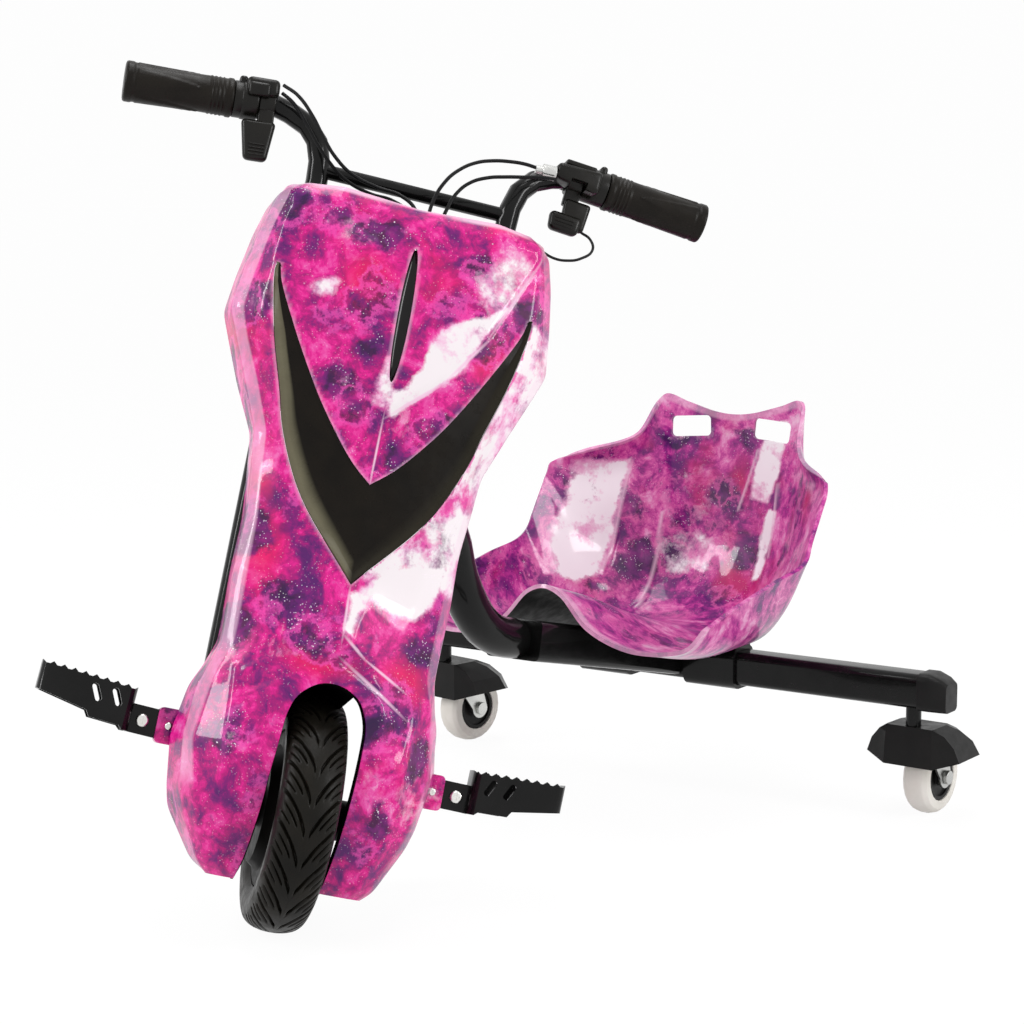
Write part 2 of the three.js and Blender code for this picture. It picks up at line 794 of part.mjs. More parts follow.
addPiece(steered, "handlebar", handlebarSolid(), finishes.blackSteel());

// Grips: a cup over each bar end with an inner collar and a flared outer end
function gripSolid(sign) {
  const length = gripEnd(sign).distanceTo(gripStart(sign));
  const bore = bar.radius + 2 * fit;
  const profile = [
    [bore, 0],
    [grip.collarRadius, 0],
    [grip.collarRadius, grip.collarLength],
    [grip.radius, grip.collarLength + grip.collarTaper],
    [grip.radius, length - grip.flareLength - grip.flareTaper],
    [grip.flareRadius, length - grip.flareLength],
    [grip.flareRadius, length - grip.endTaper],
    [grip.radius, length],
    [0, length],
    [0, length - grip.endWall],
    [bore, length - grip.endWall],
  ];
  return turnedRing(profile, gripStart(sign), gripAxis(sign), grip.segments);
}

sides.forEach(({ name, sign }) => addPiece(steered, "grip_" + name, gripSolid(sign), finishes.rubber()));

// Fairing: a creased skin lofted level by level, its front seen along -Y
function fairingHalf([height, ...places]) {
  const z = fairing.bottom + height * fairing.height;
  const middle = [0, places.pop()];
  const columns = [middle];
  for (let i = places.length - 2; i >= 0; i -= 2) columns.push([places[i], places[i + 1]]);
  const top = height > fairing.shoulderShare ? 1 : 0;
  return columns.map(([x, forward], k) =>
    vector(
      x * fairing.halfWidth,
      -forward * fairing.depth,
      z + top * shoulderRiseShares[k] * fairing.shoulderRise,
    ),
  );
}

const fairingFront = fairingLevelShares.map((level) => mirroredRow(fairingHalf(level)));

// Depth of the fairing's face at a place seen from the front, read off the same levels
function faceDepth(x, z) {
  const heights = fairingLevelShares.map(([height]) => fairing.bottom + height * fairing.height);
  const above = Math.min(Math.max(heights.findIndex((height) => height > z), 1), heights.length - 1);
  const blend = (z - heights[above - 1]) / (heights[above] - heights[above - 1]);
  const lower = fairingHalf(fairingLevelShares[above - 1]);
  const upper = fairingHalf(fairingLevelShares[above]);
  const row = lower.map((point, k) => point.clone().lerp(upper[k], blend));
  const beyond = row.findIndex((point) => point.x > Math.abs(x));
  const outside = beyond < 1 ? row.length - 3 : beyond;
  const from = row[outside - 1];
  const to = row[outside];
  return -THREE.MathUtils.lerp(from.y, to.y, (Math.abs(x) - from.x) / (to.x - from.x));
}

function archShape(grown) {
  const halfWidth = arch.halfWidth + grown;
  const shape = new THREE.Shape();
  shape.moveTo(-halfWidth, fairing.bottom - overrun);
  shape.lineTo(halfWidth, fairing.bottom - overrun);
  shape.lineTo(halfWidth, arch.springHeight);
  shape.absarc(0, arch.springHeight, halfWidth, 0, Math.PI);
  return shape;
}

function chevronOutline(grown) {
  const last = chevronShares.length - 1;
  const place = (x, z, k, side) => [
    k === last ? 0 : x * fairing.halfWidth + side * grown,
    fairing.bottom + z * fairing.height - (k ? side : -1) * grown,
  ];
  const outer = chevronShares.map(([x, z], k) => place(x, z, k, 1));
  const inner = chevronShares.map(([, , x, z], k) => place(x, z, k, -1));
  const right = [...outer.reverse(), ...inner];
  const left = right.slice(1, -1).reverse().map(([x, z]) => [-x, z]);
  return shapeOf([...right, ...left]);
}

function slotPoints(grown) {
  const middle = fairing.bottom + (fairing.height * (slot.topShare + slot.bottomShare)) / 2;
  const half = (fairing.height * (slot.topShare - slot.bottomShare)) / 2;
  const turns = [...Array(arch.segments + 1).keys()].map((i) => i / arch.segments);
  return turns.map((t) => {
    const along = Math.cos(Math.PI * t);
    return [(slot.halfWidth + grown) * Math.sin(Math.PI * t), middle + (half + grown) * along];
  });
}

function fairingSolid() {
  const shell = skin(fairingFront, offsetGrid(fairingFront, -fairing.wall));
  const core = offsetGrid(fairingFront, -fairing.wall / 2);
  const behind = core.map((row) => row.map((point) => vector(point.x, point.y + fairing.depth, point.z)));
  const filled = skin(core, behind);
  const reach = fairing.depth + overrun;
  const tunnel = prismForward(archShape(fairing.wall), arch.wallStart, reach, arch.segments);
  const lining = tunnel.intersect(filled);
  const half = slotPoints(0);
  const slotShape = shapeOf([...half, ...half.slice(1, -1).reverse().map(([x, z]) => [-x, z])]);
  return cut(joined([shell, lining]), [
    prismForward(archShape(0), -reach, reach, arch.segments),
    prismForward(chevronOutline(chevron.gap), 0, reach),
    prismForward(slotShape, 0, reach),
  ]);
}

addPiece(steered, "fairing", fairingSolid(), finishes.film());

// V insert: bevelled down from its outer edge, in the opening of the fairing
function chevronSolid() {
  const rows = chevronShares.map(([outerX, outerZ, innerX, innerZ]) => {
    const outer = new THREE.Vector2(outerX * fairing.halfWidth, fairing.bottom + outerZ * fairing.height);
    const inner = new THREE.Vector2(innerX * fairing.halfWidth, fairing.bottom + innerZ * fairing.height);
    const width = outer.distanceTo(inner);
    const crease = outer.clone().lerp(inner, Math.min(chevron.bevelWidth / width, chevron.bevelShare));
    const sunk = Math.min(chevron.depth, width * chevron.bevelShare);
    return [
      [outer, chevron.edgeDepth],
      [crease, sunk],
      [inner, sunk],
    ].map(([place, depth]) => vector(place.x, -(faceDepth(place.x, place.y) - depth), place.y));
  });
  const left = rows.slice(0, -1).map((row) => row.map((point) => vector(-point.x, point.y, point.z)));
  const front = [...left, ...[...rows].reverse()];
  const back = front.map((row) => row.map((point) => vector(point.x, point.y + chevron.wall, point.z)));
  return skin(front, back);
}

addPiece(steered, "fairing_v_insert", chevronSolid(), finishes.blackPlastic());

// Slot insert: a shallow dished lens
function slotInsertSolid() {
  const rows = slotPoints(-slot.gap)
    .slice(1, -1)
    .map(([x, z]) => {
      const depth = faceDepth(0, z) - slot.recess;
      return [vector(-x, -depth, z), vector(0, -depth + slot.recess / 2, z), vector(x, -depth, z)];
    });
  const back = rows.map((row) => row.map((point) => vector(point.x, point.y + slot.wall, point.z)));
  return skin(rows, back);
}

addPiece(steered, "fairing_slot_insert", slotInsertSolid(), finishes.blackPlastic());

// Battery case on the shelf of the upper crown
function batterySolid() {
  const bottom = fork.upperCrown + fork.crownThickness + fit;
  const halfDepth = (battery.front - battery.back) / 2;
  const outline = roundedRectangle(battery.halfWidth, halfDepth, battery.corner, 3);
  const solid = prismZ(outline, bottom, bottom + battery.height);
  return solid.translate([0, -(battery.front + battery.back) / 2, 0]);
}

addPiece(steered, "battery_case", batterySolid(), finishes.blackPlastic());

// Foot pegs: a pierced strip bent into a loop, toothed on top, on a tab in a boxed bracket
function pegPlaced(solid, name) {
  const pivot = (peg.tabInner + peg.bracketOuter) / 2;
  const tilt = THREE.MathUtils.radToDeg(pegTilts[name]);
  return solid
    .translate([-pivot, 0, -peg.level])
    .rotate([0, -tilt, 0])
    .translate([pivot, 0, peg.level + pegRises[name]]);
}

function pegBracketSolid({ name, sign }) {
  const halfLength = (peg.bracketOuter - peg.bracketInner) / 2;
  const middle = (peg.bracketOuter + peg.bracketInner) / 2;
  const level = peg.level + pegRises[name];
  const outline = roundedRectangle(halfLength, peg.bracketHalfHeight, peg.corner, 3);
  const body = prismForward(outline, -peg.bracketHalfDepth, peg.bracketHalfDepth);
  const mouthHalfDepth = peg.tabHalfDepth + fit;
  const mouthHalfHeight = peg.tabHalfHeight + fit;
  const mouth = block(
    vector(peg.tabInner - fit, peg.setBack - mouthHalfDepth, peg.level - mouthHalfHeight),
    vector(peg.bracketOuter + overrun, peg.setBack + mouthHalfDepth, peg.level + mouthHalfHeight),
  );
  const leg = rod(
    fork.legRadius + fit,
    vector(fork.legGap, fork.legSetBack, level - peg.bracketHalfHeight - overrun),
    vector(fork.legGap, fork.legSetBack, level + peg.bracketHalfHeight + overrun),
    fork.sides,
  );
  const right = cut(body.translate([middle, peg.setBack, level]), [pegPlaced(mouth, name), leg]);
  return sign > 0 ? right : right.mirror([1, 0, 0]);
}

function pegProfile() {
  const low = peg.level - peg.tabHalfHeight;
  const high = peg.level + peg.tabHalfHeight;
  const top = peg.level + peg.topRise;
  const length = peg.loopOuter - peg.loopInner;
  const toothStep = length / peg.teeth;
  const points = [
    [peg.tabInner, low],
    [peg.loopInner + length * peg.footStartShare, low],
    [peg.loopInner + length * peg.footEndShare, low + peg.footRise],
    [peg.loopInner + length * peg.stepStartShare, low + peg.footRise + peg.footSlope],
    [peg.loopInner + length * peg.stepEndShare, low + peg.stepRise],
    [peg.loopOuter, low + peg.endRise],
    [peg.loopOuter, top + peg.outerRise],
  ];
  for (let i = peg.teeth; i > 0; i -= 1) {
    const x = peg.loopInner + i * toothStep;
    const lift = (peg.outerRise * (i - peg.toothFlankShare)) / peg.teeth;
    points.push([x - toothStep * peg.toothFlankShare, top + lift - peg.toothDepth]);
    points.push([x - toothStep * peg.toothFloorShare, top + lift - peg.toothDepth]);
    points.push([x - toothStep, top + lift]);
  }
  points.push([peg.loopInner, high], [peg.tabInner, high]);
  return shapeOf(points);
}

function pegSolid({ name, sign }) {
  const halfLength = (peg.loopOuter - peg.loopInner) / 2;
  const halfDepth = peg.loopHalfDepth;
  const middle = (peg.loopOuter + peg.loopInner) / 2;
  const bottom = peg.level - peg.tabHalfHeight - overrun;
  const top = peg.level + peg.topRise + peg.outerRise + overrun;
  const outer = prismZ(roundedRectangle(halfLength, halfDepth, peg.loopCorner, 4), bottom, top);
  const hollow = prismZ(
    roundedRectangle(halfLength - peg.plate, halfDepth - peg.plate, peg.loopCorner - peg.plate, 4),
    bottom - overrun,
    top + overrun,
  );
  const loop = outer.subtract(hollow).translate([middle, peg.setBack, 0]);
  const tab = block(
    vector(peg.tabInner, peg.setBack - peg.tabHalfDepth, peg.level - peg.tabHalfHeight),
    vector(peg.loopInner + peg.plate / 2, peg.setBack + peg.tabHalfDepth, peg.level + peg.tabHalfHeight),
  );
  const reach = halfDepth * 2 + overrun;
  const trimmed = joined([loop, tab]).intersect(prismForward(pegProfile(), -reach, reach));
  const lean = Math.atan(peg.slotLean);
  const slots = [0, 1].map((i) => {
    const shape = roundedRectangle(peg.slotWidth / 2, peg.slotLength / 2, peg.slotWidth / 2 - fit, 4);
    const cutter = prismForward(shape, -2 * reach, reach).rotate([0, THREE.MathUtils.radToDeg(lean), 0]);
    const x = peg.loopInner + peg.slotPitch * (i + peg.slotStartShare);
    return cutter.translate([x, 0, peg.level + peg.slotRise]);
  });
  const right = pegPlaced(cut(trimmed, slots), name);
  return sign > 0 ? right : right.mirror([1, 0, 0]);
}

sides.forEach((side) => {
  addPiece(steered, "peg_bracket_" + side.name, pegBracketSolid(side), finishes.film());
  addPiece(steered, "foot_peg_" + side.name, pegSolid(side), finishes.blackSteel());
});

// Thumb controls: a boxed housing clamped on the bar and a paddle that turns on the bar
function onBar(sign, x, forward, up) {
  const along = (x - grip.inner) / (grip.outer - grip.inner);
  const place = gripStart(sign).lerp(gripEnd(sign), along);
  return vector(place.x, place.y - forward, place.z + up);
}

function barBore(sign, gap) {
  return rod(
    bar.radius + gap,
    onBar(sign, grip.inner + overrun, 0, 0),
    onBar(sign, control.ringInner - overrun, 0, 0),
    control.segments,
  );
}

// Room under the ring for the neck of the paddle as it swings forward
function swingRoom(sign) {
  const low = onBar(sign, control.ringOuter, control.swingFront, -control.drumRadius - overrun);
  const high = onBar(sign, control.ringInner, -control.swingBack, 0);
  const start = Math.min(low.x, high.x) - runningGap;
  const end = Math.max(low.x, high.x) + runningGap;
  return block(vector(start, low.y, low.z), vector(end, high.y, high.z));
}

function controlHousingSolid(sign, box) {
  const drum = rod(
    control.drumRadius,
    onBar(sign, control.outer, 0, 0),
    onBar(sign, control.ringOuter + runningGap, 0, 0),
    control.segments,
  );
  const halfLength = (box.outer - box.inner) / 2;
  const outline = roundedRectangle(halfLength, (box.front + box.back) / 2, control.corner, 3);
  const middle = onBar(sign, (box.outer + box.inner) / 2, (box.front - box.back) / 2, 0);
  const body = prismZ(outline, box.bottom, box.top).translate([middle.x, middle.y, middle.z]);
  const ringRoom = rod(
    control.ringRadius + runningGap,
    onBar(sign, control.ringOuter + runningGap, 0, 0),
    onBar(sign, fork.legGap, 0, 0),
    control.segments,
  );
  const bend = bentTube(barPath(sign).slice(0, -3), bar.radius + control.bendGap, bar.sides, bar.steps);
  return cut(joined([drum, body]), [ringRoom, swingRoom(sign), bend, barBore(sign, 2 * fit)]);
}

function brakeHousingSolid() {
  const near = onBar(1, clampFin.inner, clampFin.halfDepth, clampFin.bottom);
  const far = onBar(1, clampFin.outer, -clampFin.halfDepth, clampFin.top);
  const ear = block(near, far).subtract(barBore(1, 2 * fit));
  return controlHousingSolid(1, brakeBox).add(ear);
}

function paddleSolid(sign) {
  const ringEnds = [onBar(sign, control.ringOuter, 0, 0), onBar(sign, control.ringInner, 0, 0)];
  const ring = rod(control.ringRadius, ringEnds[0], ringEnds[1], control.segments);
  const root = onBar(sign, control.armMiddle, 0, 0);
  const level = (drop, halfWidth, forward, thickness) => [
    vector(root.x - halfWidth, root.y - forward, root.z - drop),
    vector(root.x + halfWidth, root.y - forward, root.z - drop),
    vector(root.x + halfWidth, root.y - forward + thickness, root.z - drop),
    vector(root.x - halfWidth, root.y - forward + thickness, root.z - drop),
  ];
  const { armTop, armDrop, armHalfWidth, armFront, armThickness } = control;
  const arm = loft([
    level(armTop, armHalfWidth, armFront / 2, armThickness),
    level(armDrop * paddleShares.knee, armHalfWidth, armFront / 2, armThickness),
    level(armDrop * paddleShares.pad, control.tipHalfWidth, armFront * paddleShares.tip, armThickness),
    level(armDrop, control.tipEndHalfWidth, armFront, armThickness * paddleShares.tip),
  ]);
  const neckLow = onBar(sign, control.ringInner, -armThickness / 2, -armTop - armThickness);
  const neckHigh = onBar(sign, control.armMiddle, armThickness / 2, -bar.radius - control.neckOverlap);
  const neck = block(
    vector(Math.min(neckLow.x, neckHigh.x), neckHigh.y, neckLow.z),
    vector(Math.max(neckLow.x, neckHigh.x), neckLow.y, neckHigh.z),
  );
  return joined([ring, arm, neck]).subtract(barBore(sign, control.ringGap));
}

addPiece(steered, "throttle_housing", controlHousingSolid(-1, throttleBox), finishes.blackPlastic());
addPiece(steered, "throttle_paddle", paddleSolid(-1), finishes.blackPlastic());
addPiece(steered, "brake_housing", brakeHousingSolid(), finishes.blackPlastic());
addPiece(steered, "brake_paddle", paddleSolid(1), finishes.blackPlastic());

// Cable adjuster barrel beside the left-hand control
function adjusterSolid() {
  const outer = onBar(1, brakeBox.inner - fit, adjuster.forward, adjuster.rise);
  const length = brakeBox.inner - adjuster.inner;
  const profile = [
    [adjuster.bore, 0],
    [adjuster.radius, 0],
    [adjuster.radius, length - adjuster.noseLength],
    [adjuster.noseRadius, length - adjuster.noseLength],
    [adjuster.noseRadius, length],
    [adjuster.bore, length],
  ];
  return turnedRing(profile, outer, axisX.clone().negate(), adjuster.segments);
}

addPiece(steered, "cable_adjuster", adjusterSolid(), finishes.alloy());

// Cables from the controls into the fairing, down to the battery case
function cableSolid(route, radius) {
  const low = fork.upperCrown + fork.crownThickness + battery.height + 2 * fit;
  const span = (gripHeight - low) / (routeHeights.high - routeHeights.low);
  const points = route.map(([x, y, z]) => vector(x, y, low + (z - routeHeights.low) * span));
  const curve = new THREE.CatmullRomCurve3(points);
  const steps = Math.ceil(curve.getLength() / (radius * cable.stepRadii));
  return bentTube(points, radius, cable.sides, steps);
}

Object.entries(cableRoutes).forEach(([name, route]) => {
  addPiece(steered, name, cableSolid(route, cable.radius), finishes.rubber());
});
addPiece(steered, "switch_wire", cableSolid(switchWireRoute, cable.thinRadius), finishes.rubber());

// Rear frame: head tube, gooseneck, boxed beam and cross tube in one weldment
function inChassis(solid) {
  const geometry = geometryOf(solid);
  raked.updateMatrix();
  return solidOf(geometry.applyMatrix4(raked.matrix));
}

function headTubeSolid() {
  const low = fork.lowerCrown + fork.crownThickness + headTube.cupHeight + 2 * fit;
  const high = fork.upperCrown - headTube.cupHeight - 2 * fit;
  const tube = rod(headTube.radius, vector(0, 0, low), vector(0, 0, high), fork.sides);
  return tube;
}

function headTubeBore() {
  return rod(
    fork.stemRadius + runningGap,
    vector(0, 0, fork.lowerCrown),
    vector(0, 0, fork.upperCrown),
    fork.sides,
  );
}

function gooseneckSolid() {
  const along = THREE.MathUtils.lerp(fork.lowerCrown, fork.upperCrown, gooseneck.headShare);
  const head = vector(0, 0, along).applyEuler(raked.rotation).add(raked.position);
  const tail = vector(0, -rearBeam.front, rearBeam.frontHeight);
  const reach = tail.y - head.y;
  const drop = head.z - tail.z;
  const points = gooseneckBackShares.map(([y, z]) => vector(0, head.y + y * reach, tail.z + z * drop));
  const slope = (rearBeam.frontHeight - rearBeam.rearHeight) / rearBeam.front;
  const inside = vector(0, tail.y + gooseneck.radius, tail.z - slope * gooseneck.radius);
  return bentTube([head, ...points, tail, inside], gooseneck.radius, gooseneck.sides, gooseneck.steps);
}

function rearBeamSolid() {
  const front = vector(0, -rearBeam.front, rearBeam.frontHeight);
  const rear = vector(0, 0, rearBeam.rearHeight);
  const length = front.distanceTo(rear);
  const outline = roundedRectangle(rearBeam.width / 2, rearBeam.height / 2, rearBeam.corner, 3);
  const along = rear.clone().sub(front).normalize();
  const up = axisX.clone().cross(along).normalize();
  const geometry = new THREE.ExtrudeGeometry(outline, { depth: length, bevelEnabled: false });
  geometry.applyMatrix4(new THREE.Matrix4().makeBasis(axisX.clone().negate(), up, along));
  return solidOf(geometry.translate(front.x, front.y, front.z));
}

function frameSolid() {
  const half = axleTube.size / 2;
  const tube = prismX(roundedRectangle(half, half, axleTube.corner, 4), -axleTube.end, axleTube.end);
  const pins = sides.map(({ sign }) =>
    rod(
      caster.pinRadius + runningGap,
      vector(sign * casterTrack, 0, axleTube.height - half - overrun),
      vector(sign * casterTrack, 0, axleTube.height - half + caster.pinDepth + runningGap),
      fork.sides,
    ),
  );
  const cross = tube.translate([0, 0, axleTube.height]);
  const neck = joined([inChassis(headTubeSolid()), gooseneckSolid()]);
  return cut(joined([cross, rearBeamSolid(), neck]), [inChassis(headTubeBore()), ...pins]);
}

addPiece(chassis, "frame", frameSolid(), finishes.blackSteel());

// Headset cups between the head tube and the crowns
function cupSolid(bottom) {
  const profile = [
    [fork.stemRadius + runningGap, 0],
    [headTube.cupRadius, 0],
    [headTube.cupRadius, headTube.cupHeight],
    [fork.stemRadius + runningGap, headTube.cupHeight],
  ];
  return turnedRing(profile, vector(0, 0, bottom), axisZ, fork.sides);
}

addPiece(raked, "headset_cup_lower", cupSolid(fork.lowerCrown + fork.crownThickness + fit), finishes.zinc());
addPiece(raked, "headset_cup_upper", cupSolid(fork.upperCrown - headTube.cupHeight - fit), finishes.zinc());

// Plastic end caps of the cross tube, tapering outwards
function axleCapSolid(sign) {
  const half = axleTube.size / 2 + axleCap.lip;
  const start = axleTube.end + fit;
  const end = axleTube.end + axleCap.length;
  const stations = [
    [start, 0, 0],
    [end - axleCap.bevelLength, 0, 0],
    [end - axleCap.edgeLength, axleCap.taper / 2, axleCap.topTaper / 2],
    [end, axleCap.taper, axleCap.topTaper],
  ];
  const rings = stations.map(([x, taper, topTaper]) => {
    const outline = roundedPoints(half - taper, half - topTaper / 2, axleTube.corner - taper / 2, 4);
    return outline.map(([y, z]) => vector(sign * x, y, axleTube.height + z - topTaper / 2));
  });
  return loft(rings);
}

sides.forEach(({ name, sign }) => {
  addPiece(chassis, "axle_cap_" + name, axleCapSolid(sign), finishes.blackPlastic());
});

// Bucket seat: a smooth moulded skin with two hand slots
function seatSolid() {
  const halves = seatGridShares.map((row) =>
    row.map(([x, y, z]) =>
      vector(x * seat.halfWidth, seat.front + y * seat.length, seat.bottom + z * seat.height),
    ),
  );
  const grid = smoothGrid(halves.map(mirroredRow), seat.gridSteps);
  const shell = skin(grid, offsetGrid(grid, -seat.wall));
  const middle = ((seatSlotShares.inner + seatSlotShares.outer) * seat.halfWidth) / 2;
  const halfLength = ((seatSlotShares.outer - seatSlotShares.inner) * seat.halfWidth) / 2;
  const halfHeight = ((seatSlotShares.top - seatSlotShares.bottom) * seat.height) / 2;
  const height = seat.bottom + ((seatSlotShares.top + seatSlotShares.bottom) * seat.height) / 2;
  const slots = sides.map(({ sign }) => {
    const outline = roundedRectangle(halfLength, halfHeight, seatSlot.corner, 4);
    const cutter = prismForward(outline, -seat.length, 0);
    const tilt = sign * THREE.MathUtils.radToDeg(seatSlot.tilt);
    return cutter.rotate([0, -tilt, 0]).translate([sign * middle, 0, height]);
  });
  return cut(shell, slots);
}

addPiece(chassis, "seat", seatSolid(), finishes.film());

// Seat brackets: a boxed strap round the cross tube with a pad on top
function seatBracketSolid(sign) {
  const inner = axleTube.size / 2 + fit;
  const outer = inner + seatBracket.wall;
  const ends = [sign * seatBracket.inner, sign * seatBracket.outer].sort((a, b) => a - b);
  const outside = roundedRectangle(outer, outer, axleTube.corner + seatBracket.wall, 4);
  const inside = roundedRectangle(inner, inner, axleTube.corner, 4);
  const strap = prismX(outside, ends[0], ends[1]);
  const hollow = prismX(inside, ends[0] - overrun, ends[1] + overrun);
  const pad = block(
    vector(ends[0], -seatBracket.padHalfDepth, inner + seatBracket.padOverlap),
    vector(ends[1], seatBracket.padHalfDepth, outer + seatBracket.padHeight),
  );
  return joined([strap.subtract(hollow), pad]).translate([0, 0, axleTube.height]);
}

sides.forEach(({ name, sign }) => {
  addPiece(chassis, "seat_bracket_" + name, seatBracketSolid(sign), finishes.blackSteel());
});

// Casters: a kingpin, a plated yoke under a faceted hood, and a soft-tread wheel
const yokeTop = hood.top - hood.wall - fit;
const wheelCentre = vector(0, caster.trail, caster.wheelRadius);

function kingpinSolid() {
  const tubeBottom = axleTube.height - axleTube.size / 2;
  const profile = [
    [0, yokeTop + fit],
    [caster.stemRadius, yokeTop + fit],
    [caster.stemRadius, tubeBottom - fit],
    [caster.pinRadius, tubeBottom - fit],
    [caster.pinRadius, tubeBottom + caster.pinDepth],
    [0, tubeBottom + caster.pinDepth],
  ];
  return turned(profile, vector(0, 0, 0), axisZ, fork.sides);
}

function yokeSolid() {
  const crownBottom = yokeTop - caster.plate;
  const reach = caster.plateGap + caster.plate;
  const crown = block(
    vector(-reach, -caster.crownFront, crownBottom),
    vector(reach, caster.crownBack, yokeTop),
  );
  const outline = new THREE.Shape();
  outline.moveTo(-caster.crownFront, yokeTop);
  outline.lineTo(-caster.crownFront, yokeTop - caster.cheekDrop);
  outline.lineTo(wheelCentre.y - caster.eyeRadius, wheelCentre.z);
  outline.absarc(wheelCentre.y, wheelCentre.z, caster.eyeRadius, Math.PI, 2 * Math.PI);
  outline.lineTo(caster.crownBack + caster.eyeRadius, yokeTop - caster.cheekDrop);
  outline.lineTo(caster.crownBack, yokeTop);
  const plates = sides.map(({ sign }) => {
    const ends = [sign * caster.plateGap, sign * reach].sort((a, b) => a - b);
    return prismX(outline, ends[0], ends[1], 8);
  });
  const bore = rod(
    caster.boltRadius + fit,
    wheelCentre.clone().setX(-reach - overrun),
    wheelCentre.clone().setX(reach + overrun),
    fork.sides,
  );
  return cut(joined([crown, ...plates]), [bore]);
}

function hoodRings(inset) {
  return hoodRiseShares.map((rise, i) =>
    hoodSkirtShares.map(([skirtX, skirtY], k) => {
      const x = THREE.MathUtils.lerp(skirtX, hoodCapShares[k][0], hoodDrawShares[i]) * hood.halfWidth;
      const y = THREE.MathUtils.lerp(skirtY, hoodCapShares[k][1], hoodDrawShares[i]) * hood.length;
      const tip = hoodTipRiseShares[k] * (hood.top - hood.skirt) * (1 - rise);
      const z = THREE.MathUtils.lerp(hood.skirt, hood.top, rise) + tip;
      const middle = hood.length / 2;
      return vector(
        x - Math.sign(x) * inset,
        hood.front + y - Math.sign(y - middle * hood.waistShare) * inset,
        z - inset,
      );
    }),
  );
}

function hoodSolid() {
  const hollow = hoodRings(hood.wall);
  const mouth = hollow[0].map((point) => vector(point.x, point.y, hood.skirt - overrun));
  const stem = rod(
    caster.stemRadius + fit,
    vector(0, 0, yokeTop),
    vector(0, 0, hood.top + overrun),
    fork.sides,
  );
  return cut(loft(hoodRings(0)), [loft([mouth, ...hollow]), stem]);
}

function casterTreadSolid() {
  const { wheelRadius, treadBore, treadHalfWidth, shoulderDrop, crownDrop } = caster;
  const { shoulder, crown } = casterTreadShares;
  const profile = [
    [treadBore, -treadHalfWidth],
    [wheelRadius - shoulderDrop, -treadHalfWidth],
    [wheelRadius - crownDrop, -treadHalfWidth * shoulder],
    [wheelRadius, -treadHalfWidth * crown],
    [wheelRadius, treadHalfWidth * crown],
    [wheelRadius - crownDrop, treadHalfWidth * shoulder],
    [wheelRadius - shoulderDrop, treadHalfWidth],
    [treadBore, treadHalfWidth],
  ];
  return turnedRing(profile, wheelCentre, axisX, caster.segments);
}

function casterHubSolid() {
  const rim = caster.treadBore - fit;
  const bore = caster.boltRadius + runningGap;
  const half = [
    [bore, caster.hubHalfWidth],
    [caster.hubBossRadius, caster.hubHalfWidth],
    [caster.hubBossRadius, caster.hubHalfWidth - caster.hubDish],
    [rim - caster.hubRimWidth, caster.hubHalfWidth - caster.hubDish],
    [rim - caster.hubRimWidth, caster.hubHalfWidth],
    [rim, caster.hubHalfWidth],
  ];
  const mirrored = [...half].reverse().map(([radius, along]) => [radius, -along]);
  return turnedRing([...half, ...mirrored], wheelCentre, axisX, caster.segments);
}

function casterBoltSolid() {
  const shank = caster.plateGap + caster.plate + fit;
  const end = shank + caster.boltHeadLength;
  const profile = [
    [0, -end],
    [caster.boltHeadRadius, -end],
    [caster.boltHeadRadius, -shank],
    [caster.boltRadius, -shank],
    [caster.boltRadius, shank],
    [caster.boltHeadRadius, shank],
    [caster.boltHeadRadius, end],
    [0, end],
  ];
  return turned(profile, wheelCentre, axisX, fork.sides);
}

sides.forEach(({ name, sign, turn }) => {
  const group = new THREE.Group();
  group.position.x = sign * casterTrack;
  group.rotation.z = turn;
  chassis.add(group);
  addPiece(group, "caster_kingpin_" + name, kingpinSolid(), finishes.blackSteel());
  addPiece(group, "caster_yoke_" + name, yokeSolid(), finishes.zinc());
  addPiece(group, "caster_hood_" + name, hoodSolid(), finishes.blackPlastic());
  addPiece(group, "caster_bolt_" + name, casterBoltSolid(), finishes.zinc());
  addPiece(group, "caster_hub_" + name, casterHubSolid(), finishes.blackPlastic());
  addPiece(group, "caster_tread_" + name, casterTreadSolid(), finishes.cream());
});

export default trike;
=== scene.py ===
from math import atan2, cos, pi, radians, sin, sqrt

import bpy
import numpy as np
from mathutils import Matrix, Vector
from mathutils.bvhtree import BVHTree
from mathutils.kdtree import KDTree


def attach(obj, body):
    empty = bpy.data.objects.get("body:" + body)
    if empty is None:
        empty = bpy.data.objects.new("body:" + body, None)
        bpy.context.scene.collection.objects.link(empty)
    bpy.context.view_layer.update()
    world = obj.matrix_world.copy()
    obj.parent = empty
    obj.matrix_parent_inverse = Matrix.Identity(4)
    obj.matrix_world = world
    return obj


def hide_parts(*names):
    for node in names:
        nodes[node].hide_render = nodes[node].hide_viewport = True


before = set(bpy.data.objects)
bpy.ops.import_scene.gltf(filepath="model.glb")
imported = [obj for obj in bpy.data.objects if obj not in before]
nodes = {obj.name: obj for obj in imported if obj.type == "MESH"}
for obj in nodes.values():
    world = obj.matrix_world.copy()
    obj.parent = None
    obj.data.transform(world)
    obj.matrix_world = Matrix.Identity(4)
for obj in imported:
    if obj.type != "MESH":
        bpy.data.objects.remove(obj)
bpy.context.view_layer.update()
scene = bpy.context.scene

